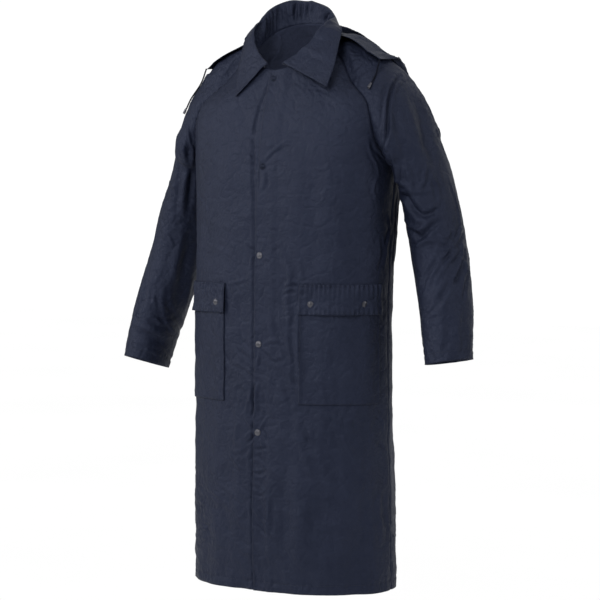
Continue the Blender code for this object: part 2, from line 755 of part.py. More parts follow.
def shell_panels():
    """Fronts, back and sleeves, which share their seams."""
    panels = [
        Panel("front_left", "torso", front_grid(1), flip=True),
        Panel("front_right", "torso", front_grid(-1)),
        Panel("back", "torso", back_grid(), flip=True),
        Panel("sleeve_left", "sleeve", sleeve_grid(1), closed_from=UPPER_ROWS),
        Panel("sleeve_right", "sleeve", sleeve_grid(-1), flip=True, closed_from=UPPER_ROWS),
    ]
    share_seams(panels)
    return panels


def loose_panels(tree):
    """Collar, hood, pockets and flaps, which lie over or beside the shell."""
    collar = collar_grid()
    for row in range(len(collar) - COLLAR_FALL_ROWS - 1, len(collar)):
        collar[row] = lay_over(collar[row], tree, COLLAR_REST)
    return [
        Panel("collar", "collar", collar),
        Panel("hood", "hood", draped_hood(tree)),
        Panel("pocket_left", "pocket", pocket_grid(1)),
        Panel("pocket_right", "pocket", pocket_grid(-1), flip=True),
        Panel("flap_left", "flap", flap_grid(1)),
        Panel("flap_right", "flap", flap_grid(-1), flip=True),
    ]


def build():
    clear_scene()
    coat = bpy.data.collections.new(COLLECTION)
    bpy.context.scene.collection.children.link(coat)
    cloth = make_material("navy_cloth", (0.022, 0.027, 0.048), 0.55, 0.0)
    metal = make_material("snap_metal", (0.30, 0.30, 0.32), 0.30, 1.0)
    cord = make_material("navy_cord", (0.020, 0.024, 0.042), 0.75, 0.0)
    shell = shell_panels()
    tree = surface_tree(shell)
    loose = loose_panels(tree)
    for panel in shell + loose:
        wall_object(panel, cloth, coat)
    hood = next(panel for panel in loose if panel.name == "hood")
    for number in range(FRONT_SNAPS):
        height = SNAP_TOP_Z - SNAP_SPACING * number
        point, normal = surface_frame(height, middle_degree(height, SNAP_X), 1, 0.0)
        add_snap(f"snap_{number + 1}", point, normal, metal, coat)
    for side, name in ((1, "left"), (-1, "right")):
        for number, degree in enumerate(FLAP_SNAP_DEGS):
            out = flap_out(FLAP_SNAP_Z)
            point, normal = surface_frame(FLAP_SNAP_Z, degree, side, out)
            add_snap(f"flap_{name}_snap_{number + 1}", point, normal, metal, coat)
    for name, column, plan in (("left", 0, CORD_LEFT), ("right", -1, CORD_RIGHT)):
        corner = hood.grid[-1, column] + np.array(CORD_EXIT)
        route = [corner, *lay_over(plan, tree, CORD_REST, seated=True)]
        add_cord(f"hood_cord_{name}", route, cord, coat)
        add_cord_end(f"cord_end_{name}", route, metal, coat)


build()
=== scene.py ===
# %% [markdown]
# # A hooded raincoat that keeps the shape of its wearer
#
# The real coat is cut from thin coated taffeta: two fronts, a back, two raglan sleeves, a collar,
# a hood, two pockets and two flaps, sewn together and closed with metal snaps. Here it stands
# filled out, as if somebody were inside it, but hollow.
#
# The solid model, which another program made, holds the sizes. This file dresses it: each cloth
# piece is built again on the same form with many more points, gets its folds, creases and
# puckers, and then stands in for the plain solid. Everything is in metres, +Z is up, the front
# faces -Y and the wearer's left is +X.
#
# The first cell loads the solids.

# %% Load the solids
from math import cos, pi, radians, sin, sqrt

import bmesh
import bpy
import numpy as np
from mathutils import Euler, Matrix, Vector
from mathutils.bvhtree import BVHTree


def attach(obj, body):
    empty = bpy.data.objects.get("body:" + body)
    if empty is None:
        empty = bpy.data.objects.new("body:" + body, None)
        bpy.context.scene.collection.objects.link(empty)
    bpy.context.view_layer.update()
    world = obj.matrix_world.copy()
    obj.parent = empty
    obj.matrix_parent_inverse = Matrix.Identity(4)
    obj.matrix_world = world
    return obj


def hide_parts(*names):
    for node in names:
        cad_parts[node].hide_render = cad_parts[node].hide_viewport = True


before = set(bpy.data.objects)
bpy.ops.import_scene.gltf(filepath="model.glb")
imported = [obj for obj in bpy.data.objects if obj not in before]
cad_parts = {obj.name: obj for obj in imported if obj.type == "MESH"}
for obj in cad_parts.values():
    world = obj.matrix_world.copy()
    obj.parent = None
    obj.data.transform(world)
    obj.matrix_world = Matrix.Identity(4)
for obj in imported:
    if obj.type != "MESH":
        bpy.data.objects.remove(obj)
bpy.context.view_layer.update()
BODY = "root"
SCENE = bpy.context.scene

# %% [markdown]
# ## The camera
#
# A long lens, standing a little to the wearer's left of the middle, at chest height and tipped
# slightly down. A long lens keeps the sides of the coat nearly parallel, as in a shop's picture
# of a product.

# %% Camera
CAMERA_TURN = radians(30.04)
CAMERA_AWAY = 4.251
CAMERA_HEIGHT = -0.3407
CAMERA_DOWN = radians(2.795)
CAMERA_LENS = 119.67

camera_data = bpy.data.cameras.new("camera")
camera_data.lens = CAMERA_LENS
camera_data.sensor_width = 36.0
camera_data.clip_end = 60.0
camera = bpy.data.objects.new("camera", camera_data)
camera.location = (
    CAMERA_AWAY * sin(CAMERA_TURN), -CAMERA_AWAY * cos(CAMERA_TURN), CAMERA_HEIGHT)
camera.rotation_euler = Euler((pi / 2 - CAMERA_DOWN, 0.0, CAMERA_TURN))
SCENE.collection.objects.link(camera)
SCENE.camera = camera
print("camera at", [round(value, 3) for value in camera.location])

# %% [markdown]
# ## The form of the coat
#
# A coat pattern is hard to unroll by eye, so the form is worked out from short tables instead:
# rings round the body at a few heights, a line over the shoulder, and rings along the sleeve.
# A smooth curve through the rows of a table gives every place between them. The rows are those
# of the solid model, read with many more steps. A few values outside the tables are set anew
# for the finished cloth and differ by some millimetres, such as the lap's edge.

# %% Tables of the form
HEM_Z = -1.145
ARMPIT_Z = -0.262
LAP_STEP = 0.0028
RIGHT_CUFF_DROP = 0.030
RIGHT_CUFF_OUT = 0.012
RIGHT_FULLER = 1.10
NECK_FRONT_Z = -0.065
NECK_BACK_Z = 0.041
NECK_RISE = 0.60
FOLD_START_Z = -0.62
LAP_EDGE = -0.0125
UNDERLAP_EDGE = -0.022
LAP_FULL = 0.0235
LAP_END = 0.040

# Torso rings, from the hem up. Each is the coat's outline at one height.
TORSO = (
    # height, half width, front y, side y, back y, squareness
    (-1.145, 0.230, -0.170, -0.022, 0.104, 2.30),
    (-1.020, 0.227, -0.174, -0.022, 0.100, 2.30),
    (-0.850, 0.225, -0.171, -0.024, 0.092, 2.30),
    (-0.690, 0.223, -0.167, -0.024, 0.082, 2.35),
    (-0.570, 0.222, -0.165, -0.022, 0.086, 2.40),
    (-0.440, 0.222, -0.161, -0.012, 0.090, 2.50),
    (-0.340, 0.223, -0.156, -0.002, 0.098, 2.70),
    (-0.262, 0.226, -0.149, 0.008, 0.108, 2.95),
    (-0.210, 0.230, -0.141, 0.014, 0.116, 3.10),
    (-0.160, 0.234, -0.129, 0.018, 0.120, 3.00),
    (-0.126, 0.226, -0.118, 0.018, 0.118, 2.75),
    (-0.087, 0.178, -0.106, 0.014, 0.110, 2.30),
    (-0.040, 0.129, -0.091, 0.008, 0.094, 2.10),
    (-0.015, 0.094, -0.082, 0.000, 0.078, 2.05),
    (0.041, 0.080, -0.070, -0.010, 0.036, 2.00),
)

# Raglan shoulder, from the neck (0) to the underarm (1): the line along the top of the shoulder,
# the two seams' heights and angles round the torso ring, and how deeply the sleeve arches over
# them (90 is a flat bridge, 0 a half round, -90 a closed tube).
SHOULDER = (
    # place, top x, top y, top z, front z, front deg, back z, back deg, arch deg
    (0.00, 0.088, -0.002, 0.003, -0.006, 74.0, 0.028, 126.0, 40.0),
    (0.12, 0.125, 0.003, -0.008, -0.041, 65.0, -0.012, 124.0, 34.0),
    (0.25, 0.165, 0.008, -0.024, -0.074, 59.0, -0.052, 122.0, 24.0),
    (0.40, 0.207, 0.012, -0.046, -0.110, 54.0, -0.098, 120.0, 10.0),
    (0.55, 0.240, 0.016, -0.078, -0.145, 56.0, -0.138, 117.0, -8.0),
    (0.70, 0.267, 0.022, -0.117, -0.183, 61.0, -0.180, 112.0, -26.0),
    (0.85, 0.288, 0.029, -0.165, -0.224, 71.0, -0.223, 103.0, -50.0),
    (1.00, 0.305, 0.034, -0.214, ARMPIT_Z, 90.0, ARMPIT_Z, 90.0, -90.0),
)

# Sleeve rings below the underarm: the points of each ring nearest to and farthest from the body.
SLEEVE = (
    # place, inner x, inner z, outer x, outer z, middle y, half depth
    (0.00, 0.226, ARMPIT_Z, 0.305, -0.214, 0.021, 0.082),
    (0.13, 0.237, -0.318, 0.327, -0.277, 0.033, 0.080),
    (0.25, 0.243, -0.368, 0.346, -0.335, 0.035, 0.075),
    (0.38, 0.252, -0.420, 0.361, -0.390, 0.033, 0.070),
    (0.50, 0.264, -0.469, 0.373, -0.441, 0.026, 0.067),
    (0.62, 0.279, -0.518, 0.386, -0.492, 0.014, 0.066),
    (0.75, 0.294, -0.569, 0.397, -0.545, 0.000, 0.064),
    (0.87, 0.307, -0.620, 0.405, -0.600, -0.014, 0.060),
    (1.00, 0.320, -0.671, 0.412, -0.655, -0.028, 0.057),
)

# Soft vertical folds that open toward the hem.
SKIRT_FOLDS = (
    # angle deg, depth at the hem, spread deg
    (24.0, 0.0060, 9.0),
    (52.0, -0.0050, 10.0),
    (76.0, 0.0045, 9.0),
    (118.0, 0.0060, 11.0),
    (150.0, -0.0050, 10.0),
    (176.0, 0.0050, 9.0),
    (-32.0, 0.0045, 10.0),
    (-64.0, -0.0045, 10.0),
    (-110.0, 0.0055, 11.0),
    (-148.0, 0.0055, 10.0),
)


# %% [markdown]
# ## Reading the tables
#
# Most functions here work on whole arrays of places at once. That is how numpy makes a hundred
# thousand points in a blink, where a loop over single points would take half a minute.

# %% Functions of the form
def read(table, place):
    """The columns of a table at many places, on smooth curves through its rows."""
    rows = np.asarray(table, dtype=float)
    knots, values = rows[:, 0], rows[:, 1:]
    slopes = np.gradient(values, knots, axis=0)
    place = np.clip(np.asarray(place, dtype=float), knots[0], knots[-1])
    row = np.clip(np.searchsorted(knots, place, side="right") - 1, 0, len(knots) - 2)
    step = (knots[row + 1] - knots[row])[..., None]
    part = (place - knots[row])[..., None] / step
    blend = part * part * (3 - 2 * part)
    leave = slopes[row] * step * (part**3 - 2 * part**2 + part)
    arrive = slopes[row + 1] * step * (part**3 - part**2)
    return values[row] * (1 - blend) + values[row + 1] * blend + leave + arrive


def ease(amount):
    """0 to 1 with a soft start and a soft end."""
    amount = np.clip(amount, 0.0, 1.0)
    return amount * amount * (3 - 2 * amount)


def unit(vectors):
    vectors = np.asarray(vectors, dtype=float)
    return vectors / np.maximum(np.linalg.norm(vectors, axis=-1, keepdims=True), 1e-12)


def bell(away, width):
    """1 in the middle, falling off softly to both sides."""
    return np.exp(-((away / width) ** 2))


def path_lengths(points):
    """The distance of every point of a line from its start."""
    return np.concatenate(((0.0,), np.cumsum(np.linalg.norm(np.diff(points, axis=0), axis=1))))


def row_lengths(grid):
    """The distance of every point of a grid from the start of its row."""
    steps = np.linalg.norm(np.diff(grid, axis=1), axis=2)
    return np.hstack((np.zeros((len(grid), 1)), np.cumsum(steps, axis=1)))


def skirt_fold(height, degree):
    opening = np.maximum(0.0, (FOLD_START_Z - height) / (FOLD_START_Z - HEM_Z)) ** 1.3
    push = 0.0
    for fold_degree, depth, spread in SKIRT_FOLDS:
        away = (degree - fold_degree + 180.0) % 360.0 - 180.0
        push = push + depth * bell(away, spread)
    return push * opening


def torso_points(height, degree, out=0.0):
    """Points of the torso: 0 degrees is the middle of the front, 90 the wearer's left side."""
    height, degree = np.broadcast_arrays(
        np.asarray(height, dtype=float), np.asarray(degree, dtype=float))
    half_width, front_y, side_y, back_y, squareness = np.moveaxis(read(TORSO, height), -1, 0)
    across, along = np.sin(np.radians(degree)), np.cos(np.radians(degree))
    reach = np.where(along > 0, front_y, back_y) - side_y
    power = 2.0 / squareness
    x = np.sign(across) * half_width * np.abs(across) ** power
    y = side_y + reach * np.abs(along) ** power
    outward = unit(np.stack((x / half_width**2, (y - side_y) / reach**2, np.zeros_like(x)), -1))
    shift = np.asarray(skirt_fold(height, degree) + out)
    return np.stack((x, y, height), -1) + outward * shift[..., None]


def neck_height(degree):
    rise = ((1.0 - np.cos(np.radians(degree))) / 2.0) ** NECK_RISE
    return NECK_FRONT_Z + (NECK_BACK_Z - NECK_FRONT_Z) * rise


def neck_points(degree):
    return torso_points(neck_height(degree), degree)


def middle_degree(height, distance):
    """The torso angle whose point lies this far from the middle of the front."""
    half_width, _, _, _, squareness = np.moveaxis(read(TORSO, height), -1, 0)
    share = (np.abs(distance) / half_width) ** (squareness / 2.0)
    return np.degrees(np.arcsin(share)) * np.sign(distance)


def around_of(degree):
    """Distance round the coat from the middle of the front, for an angle of -180 to 360."""
    return np.interp(degree, ROUND_DEGREES, ROUND_LENGTHS)


ROUND_Z = -0.60
ROUND_DEGREES = np.linspace(-180.0, 360.0, 1081)
ROUND_LENGTHS = path_lengths(torso_points(np.full(len(ROUND_DEGREES), ROUND_Z), ROUND_DEGREES))
ROUND_LENGTHS -= np.interp(0.0, ROUND_DEGREES, ROUND_LENGTHS)
GIRTH = float(around_of(360.0))
print("girth below the arms, in metres:", round(GIRTH, 3))

# %% [markdown]
# ## The cut pieces as grids
#
# A piece is a grid of points: rows run round the body and columns run up it. Grids make it easy
# to say where a pucker or a fold lies, and they turn into clean four-sided faces. The edges of
# two pieces that are sewn together use exactly the same points, so the seam closes.

# %% Grids of the fronts, the back and the sleeves
DETAIL = 1.0
LOWER_ROWS = int(270 * DETAIL)
UPPER_ROWS = int(84 * DETAIL)
FRONT_COLUMNS = int(92 * DETAIL)
LAP_COLUMNS = int(22 * DETAIL)
BACK_COLUMNS = int(66 * DETAIL) * 2
SLEEVE_COLUMNS = int(56 * DETAIL) * 2
SLEEVE_ROWS = int(136 * DETAIL)


def edge_of(row, back):
    """Heights and angles of a front's or the back's outer edge in some rows."""
    low_z = HEM_Z + (ARMPIT_Z - HEM_Z) * row / LOWER_ROWS
    top = read(SHOULDER, 1.0 - np.maximum(row - LOWER_ROWS, 0) / UPPER_ROWS)
    top_z, top_degree = (top[..., 5], top[..., 6]) if back else (top[..., 3], top[..., 4])
    top_z = np.where(row == LOWER_ROWS + UPPER_ROWS, neck_height(top_degree), top_z)
    lower = row <= LOWER_ROWS
    return np.where(lower, low_z, top_z), np.where(lower, 90.0, top_degree)


def row_heights(row, part, back):
    """Heights in some rows: part 0 is the middle of the front or back, part 1 the outer edge."""
    edge_height, _ = edge_of(row, back)
    climb = np.maximum(row - LOWER_ROWS, 0) / UPPER_ROWS
    _, neck_degree = edge_of(np.array(float(LOWER_ROWS + UPPER_ROWS)), back)
    middle = 180.0 if back else 0.0
    middle_neck = neck_height(middle)
    neck_here = neck_height(middle + (neck_degree - middle) * part)
    scoop = (neck_here - middle_neck) / (neck_height(neck_degree) - middle_neck)
    middle_height = ARMPIT_Z + (middle_neck - ARMPIT_Z) * climb
    upper = middle_height + (edge_height - middle_height) * scoop
    return np.where(row <= LOWER_ROWS, edge_height, upper)


def lap_out(x):
    return LAP_STEP * ease((LAP_END - x) / (LAP_END - LAP_FULL))


def front_points(height, degree, side, out=0.0):
    """Points of a front's surface; the left front lies out over the right one."""
    points = torso_points(height, degree * side)
    lap = lap_out(points[..., 0]) if side > 0 else 0.0
    return torso_points(height, degree * side, out + lap)


def front_grid(side):
    row = np.arange(LOWER_ROWS + UPPER_ROWS + 1, dtype=float)[:, None]
    _, edge_degree = edge_of(row, back=False)
    marks = np.linspace(LAP_EDGE if side > 0 else UNDERLAP_EDGE, LAP_END, LAP_COLUMNS)[None]
    degree = middle_degree(row_heights(row, 0.0, back=False) + 0.0 * marks, marks)
    height = row_heights(row, np.maximum(degree / edge_degree, 0.0), back=False)
    degree = middle_degree(height, marks + 0.0 * row)
    start = degree[:, -1:] / edge_degree
    part = start + (1.0 - start) * np.linspace(0.0, 1.0, FRONT_COLUMNS + 1)[None, 1:]
    height = np.hstack((height, row_heights(row, part, back=False)))
    degree = np.hstack((degree, edge_degree * part))
    points = front_points(height, degree, side)
    return points, around_of(degree) * side, height


def back_grid():
    row = np.arange(LOWER_ROWS + UPPER_ROWS + 1, dtype=float)[:, None]
    _, edge_degree = edge_of(row, back=True)
    across = np.linspace(1.0, -1.0, BACK_COLUMNS + 1)[None]
    degree = 180.0 - (180.0 - edge_degree) * across
    height = row_heights(row, np.abs(across) + 0.0 * row, back=True)
    signed = np.where(degree > 180.0, degree - 360.0, degree)
    return torso_points(height, signed), around_of(degree), height


def seam_ends(place):
    """The two ends of the sleeve's section, on the raglan seams of the front and the back."""
    values = read(SHOULDER, place)
    if place == 0.0:
        return neck_points(values[4]), neck_points(values[6])
    return torso_points(values[3], values[4]), torso_points(values[5], values[6])


def shoulder_arc(place):
    """The arch of the sleeve from one raglan seam over the top of the shoulder to the other."""
    top, arch = read(SHOULDER, place)[:3], read(SHOULDER, place)[7]
    front, back = seam_ends(place)
    if place == 0.0:
        _, _, _, _, front_degree, _, back_degree, _ = read(SHOULDER, place)
        return neck_points(np.linspace(front_degree, back_degree, SLEEVE_COLUMNS + 1))
    middle, half = (front + back) / 2, (front - back) / 2
    start = radians(arch)
    width = half / cos(start)
    height = (top - middle) / (1.0 - sin(start))
    centre = middle - height * sin(start)
    angles = np.linspace(start, pi - start, SLEEVE_COLUMNS + 1)[:, None]
    return centre + width * np.cos(angles) + height * np.sin(angles)


def closing_arc(place):
    """Between the last clean arch and the first ring the section closes under the arm."""
    t = (place - CLOSING_FROM) / (1.0 - CLOSING_FROM)
    arch, ring = shoulder_arc(CLOSING_FROM), sleeve_ring(0.0)
    leave = (arch - shoulder_arc(CLOSING_FROM - CLOSING_STEP)) / CLOSING_STEP
    arrive = (sleeve_ring(1.0 / 13) - ring) * 9
    leave, arrive = leave * (1.0 - CLOSING_FROM), arrive * (1.0 - CLOSING_FROM)
    blend = t * t * (3 - 2 * t)
    made = (arch * (1 - blend) + ring * blend + leave * (t**3 - 2 * t**2 + t)
            + arrive * (t**3 - t**2))
    across = np.linspace(0.0, 1.0, SLEEVE_COLUMNS + 1)[:, None]
    front, back = seam_ends(place)
    return made + (front - made[0]) * (1 - across) ** 4 + (back - made[-1]) * across**4


CLOSING_FROM = 8.0 / 9.0
CLOSING_STEP = 0.03


def sleeve_frame(place):
    inner_x, inner_z, outer_x, outer_z, middle_y, depth = read(SLEEVE, place)
    armpit = torso_points(ARMPIT_Z, 90.0)
    lean = (SHOULDER[-1][2] - armpit[1]) / 2 * max(0.0, 1.0 - place / 0.25)
    centre = np.array(((inner_x + outer_x) / 2, middle_y, (inner_z + outer_z) / 2))
    across = np.array(((outer_x - inner_x) / 2, lean, (outer_z - inner_z) / 2))
    return centre, across, depth


def sleeve_ring(place):
    before, after = (sleeve_frame(min(max(place + step, 0.0), 1.0))[0] for step in (-0.04, 0.04))
    axis = unit(after - before)
    centre, across, depth = sleeve_frame(place)
    forward = np.array((0.0, -1.0, 0.0))
    forward = unit(forward - axis * float(np.dot(forward, axis)))
    angles = np.linspace(-pi / 2, 3 * pi / 2, SLEEVE_COLUMNS + 1)[:, None]
    ring = centre + forward * depth * np.cos(angles) + across * np.sin(angles)
    ring[-1] = ring[0]
    return ring


def level_cuff(ring, share):
    """Let the front of a ring down and take its back up, so that the cuff hangs level."""
    middle_y = ring[:-1, 1].mean()
    forward = (middle_y - ring[:, 1]) / np.ptp(ring[:, 1]) * 2
    ring[:, 2] -= share * (CUFF_LEVEL * forward + CUFF_DROP)


CUFF_LEVEL = 0.0115
CUFF_DROP = 0.0015
CUFF_FROM = 0.70
CUFF_SPAN = 0.30


def sleeve_grid(side):
    places = [row / UPPER_ROWS for row in range(UPPER_ROWS)]
    rows = [shoulder_arc(place) if place <= CLOSING_FROM else closing_arc(place)
            for place in places]
    rows += [sleeve_ring(row / SLEEVE_ROWS) for row in range(SLEEVE_ROWS + 1)]
    grid = np.array(rows)
    grid[UPPER_ROWS, 0] = grid[UPPER_ROWS, -1] = torso_points(ARMPIT_Z, 90.0)
    if side > 0:
        for row in range(SLEEVE_ROWS + 1):
            level_cuff(grid[UPPER_ROWS + row], ease((row / SLEEVE_ROWS - CUFF_FROM) / CUFF_SPAN))
    if side < 0:
        for row in range(SLEEVE_ROWS + 1):
            down = row / SLEEVE_ROWS
            ring = grid[UPPER_ROWS + row]
            middle_y = ring[:-1, 1].mean()
            fuller = 1.0 + (RIGHT_FULLER - 1.0) * ease(down / 0.5)
            ring[:, 0] += RIGHT_CUFF_OUT * ease(down / 0.4)
            ring[:, 1] = middle_y + (ring[:, 1] - middle_y) * fuller
            ring[:, 2] -= RIGHT_CUFF_DROP * down**1.5
        grid[:, :, 0] *= -1
    top_line = SLEEVE_COLUMNS // 2
    down = path_lengths(grid[:, top_line])[:, None] + 0.0 * grid[:, :, 0]
    over = row_lengths(grid)
    return grid, over - over[:, top_line][:, None], down

# %% [markdown]
# ## Collar, hood, pockets and flaps
#
# The collar stands up from the neckline, folds over its crest and falls onto the shoulders. The
# hood is sewn under the collar, hangs down the back as a pouch and comes back up to the rim of
# its face opening. Both are laid over the shell: every point that would sink into it is moved
# out to lie on it, which is what gravity does to the real cloth.

# %% Tables of the collar and the hood
COLLAR_COLUMNS = int(96 * DETAIL)
COLLAR_FALL_ROWS = int(24 * DETAIL)
COLLAR_STAND_ROWS = int(10 * DETAIL)
COLLAR_LIFT = -0.0007
COLLAR_REST = 0.0040
COLLAR_FOLD = 0.0040
COLLAR_FOLD_SHARE = 0.30
TURN_STEPS = 6
RIGHT_POINT_IN = 0.040
RIGHT_POINT_DOWN = 0.016
RIGHT_CREST_UP = 0.042
RIGHT_CREST_DEG = 140.0
RIGHT_CREST_SPREAD = 30.0
CREST_FILL = ((160.0, 0.006), (112.0, 0.007))
CREST_FILL_SPREAD = 15.0
HOOD_COLUMNS = int(80 * DETAIL)
HOOD_INNER_ROWS = int(34 * DETAIL)
HOOD_OUTER_ROWS = int(28 * DETAIL)
HOOD_POUCH = 0.045
HOOD_DRAPE = 0.020
HOOD_ROLL = 0.004
HOOD_FLAT_DEG = 12.0
HOOD_REST = 0.0070
HOOD_CLOSE = 0.0028
HOOD_CLOSE_FROM = 0.74
HOOD_CLOSE_SPAN = 0.20
HOOD_SEAM = 0.0021
HOOD_SHIFT = -0.018
HOOD_RIGHT_DOWN = 0.009
HOOD_CHANNEL = 0.016

# Collar, from the front end round the side to the middle of the back: the crest where it folds
# over, and the fall's outer edge.
COLLAR = (
    # angle deg, crest x, crest y, crest z, edge x, edge y, edge z
    (10.0, 0.020, -0.104, -0.050, 0.130, -0.116, -0.104),
    (25.0, 0.048, -0.089, -0.029, 0.131, -0.104, -0.085),
    (40.0, 0.068, -0.075, -0.007, 0.132, -0.086, -0.055),
    (60.0, 0.081, -0.058, 0.020, 0.126, -0.056, -0.011),
    (80.0, 0.087, -0.036, 0.037, 0.119, -0.032, 0.016),
    (100.0, 0.084, -0.012, 0.044, 0.104, -0.008, 0.025),
    (130.0, 0.070, 0.024, 0.053, 0.079, 0.034, 0.026),
    (155.0, 0.042, 0.046, 0.075, 0.046, 0.060, 0.038),
    (180.0, 0.000, 0.054, 0.091, 0.000, 0.070, 0.042),
)

# Hood, from its front corner on the shoulder (0) to the middle of the back (90): where it leaves
# the neck, the fold at the bottom of its pouch, and the rim of its face opening. The four rows
# after the first put the rim some millimetres lower than the solid model does.
HOOD = (
    # angle deg, neck x, neck y, neck z, fold x, fold y, fold z, rim x, rim y, rim z
    (0.0, 0.100, -0.026, 0.006, 0.178, -0.034, -0.030, 0.211, -0.036, -0.046),
    (8.0, 0.101, -0.014, 0.009, 0.184, 0.006, -0.031, 0.214, 0.004, -0.043),
    (15.0, 0.101, -0.004, 0.012, 0.200, 0.036, -0.041, 0.216, 0.042, -0.039),
    (23.0, 0.098, 0.008, 0.015, 0.220, 0.072, -0.074, 0.208, 0.068, -0.036),
    (30.0, 0.094, 0.018, 0.017, 0.226, 0.100, -0.110, 0.174, 0.085, -0.021),
    (45.0, 0.081, 0.034, 0.022, 0.196, 0.132, -0.150, 0.130, 0.104, 0.006),
    (60.0, 0.060, 0.048, 0.028, 0.145, 0.146, -0.185, 0.088, 0.118, 0.028),
    (75.0, 0.032, 0.055, 0.033, 0.075, 0.152, -0.207, 0.045, 0.126, 0.042),
    (90.0, 0.000, 0.058, 0.035, 0.000, 0.154, -0.215, 0.000, 0.130, 0.044),
)


# %% Grids of the collar and the hood
def collar_column(degree, side):
    """One section of the collar: up the stand, over the crest, down the fall."""
    crest_x, crest_y, crest_z, edge_x, edge_y, edge_z = read(COLLAR, degree)
    if side < 0:
        near_crest = bell(degree - RIGHT_CREST_DEG, RIGHT_CREST_SPREAD)
        crest_z += RIGHT_CREST_UP * sin(radians(degree)) * near_crest
        crest_z += sum(up * bell(degree - at, CREST_FILL_SPREAD) for at, up in CREST_FILL)
        near_front = ease((100.0 - degree) / 90.0)
        edge_x -= RIGHT_POINT_IN * near_front
        edge_z -= RIGHT_POINT_DOWN * near_front
    base = neck_points(degree) + np.array((0.0, 0.0, COLLAR_LIFT))
    crest = np.array((crest_x, crest_y, crest_z))
    edge = np.array((edge_x, edge_y, edge_z))
    fold = min(COLLAR_FOLD, np.linalg.norm(crest - base) * COLLAR_FOLD_SHARE)
    away = unit((edge - crest) * (1.0, 1.0, 0.0)) * fold
    drop = np.array((0.0, 0.0, fold * 0.8))
    stand_top = crest - away - drop
    fall_top = crest + away - drop
    stand = [base + (stand_top - base) * part
             for part in np.linspace(0.0, 1.0, COLLAR_STAND_ROWS)]
    turn = bow(stand_top, crest + drop, fall_top, TURN_STEPS)[1:-1]
    fall = [fall_top + (edge - fall_top) * part
            for part in np.linspace(0.0, 1.0, COLLAR_FALL_ROWS + 1)]
    points = np.array(stand + turn + fall)
    points[:, 0] *= side
    return points


def bow(start, control, end, count):
    """Points along a curve that bends toward its control point."""
    steps = np.linspace(0.0, 1.0, count + 1)
    return [start * (1 - t) ** 2 + control * 2 * t * (1 - t) + end * t * t for t in steps]


def both_sides(column_of, first, last, columns):
    left = np.linspace(first, last, columns + 1)
    made = [column_of(degree, 1) for degree in left]
    made += [column_of(degree, -1) for degree in left[::-1][1:]]
    return np.array(made).transpose(1, 0, 2)


def hood_column(degree, side):
    """One section of the hood: down its inner layer to the fold, and back up to the rim."""
    values = read(HOOD, degree)
    neck, fold, rim = values[0:3], values[3:6], values[6:9]
    toward_back = ease(degree / 90.0)
    opened = ease((degree - HOOD_FLAT_DEG) / HOOD_FLAT_DEG)
    outward = np.array((cos(radians(degree)), sin(radians(degree)), 0.0))
    lift = outward * toward_back + np.array((0.0, 0.0, 1.0)) * (1.0 - toward_back)
    share = 0.55 + 0.45 * ease(degree / 20.0) if side > 0 else toward_back
    drape = HOOD_DRAPE * share
    middle = (neck + fold) / 2 + lift * 2 * drape
    across = unit(np.cross(fold - middle, np.cross(lift, fold - middle)))
    inner = bow(neck, middle, fold, HOOD_INNER_ROWS)
    rolled = (across + unit(fold - middle), across * 2 + unit(middle - fold) * 0.5)
    flat = ((rim - fold) * 0.2, (rim - fold) * 0.4)
    bottom, turn = (fold + a * HOOD_ROLL * opened + b * (1 - opened)
                    for a, b in zip(rolled, flat))
    stand_off = outward * 2 * HOOD_POUCH * toward_back + across * HOOD_ROLL * opened
    outer = bow(turn, (turn + rim) / 2 + stand_off, rim, HOOD_OUTER_ROWS)
    roll = bow(fold, bottom, turn, TURN_STEPS)[1:-1]
    points = np.array(inner + roll + outer)
    length = path_lengths(points)
    loose = (length / length[-1]) ** 0.7
    points[:, 0] = points[:, 0] * side + HOOD_SHIFT * loose * opened
    if side < 0:
        down = HOOD_RIGHT_DOWN * (1.0 - toward_back)
        points[:, 2] -= down * np.minimum(loose, loose[HOOD_INNER_ROWS])
    return points


def lay_over(points, tree, clear, seated=False):
    """The points, moved out until they lie this far off the surface under them."""
    moved = np.array(points, dtype=float)
    clear = np.broadcast_to(clear, len(moved)).tolist()
    for number, point in enumerate(moved):
        near, normal, _, _ = tree.find_nearest(Vector(point))
        if seated or (Vector(point) - near).dot(normal) < clear[number]:
            moved[number] = near + normal * clear[number]
    return moved


# %% [markdown]
# A pocket is a patch laid on its front, and its flap is sewn above it and hangs over it. Both
# take their points from the front's own surface, so they follow its curve everywhere.

# %% Grids of the pockets and the flaps
POCKET_DEGREES = (20.0, 81.0)
POCKET_HEIGHTS = (-0.524, -0.754)
FLAP_DEGREES = (19.0, 82.0)
FLAP_HEIGHTS = (-0.508, -0.570)
CAD_WALL = 0.0012
LAYER_GAP = 0.0006
PATCH_COLUMNS = int(72 * DETAIL)
POCKET_ROWS = int(76 * DETAIL)
FLAP_ROWS = int(24 * DETAIL)
FLAP_SNAP_DEGS = (26.5, 65.0)
FLAP_SNAP_Z = -0.549


def patch_grid(side, span, heights, rows, out_of):
    """A patch worked out from a front's surface: its points, and how far out each one lies."""
    degree = np.linspace(span[0], span[1], PATCH_COLUMNS + 1)[None]
    height = np.linspace(heights[0], heights[1], rows + 1)[:, None]
    points = front_points(height + 0.0 * degree, degree + 0.0 * height, side, out_of(height))
    return points, around_of(degree + 0.0 * height) * side, height + 0.0 * degree


def pocket_out(height):
    return LAYER_GAP + CAD_WALL + 0.0 * height


def flap_out(height):
    """The flap is sewn down along its top and then lies over the pocket."""
    over_pocket = ease((FLAP_HEIGHTS[0] - height) / (FLAP_HEIGHTS[0] - POCKET_HEIGHTS[0]))
    return (LAYER_GAP + CAD_WALL) * (1.0 + over_pocket)

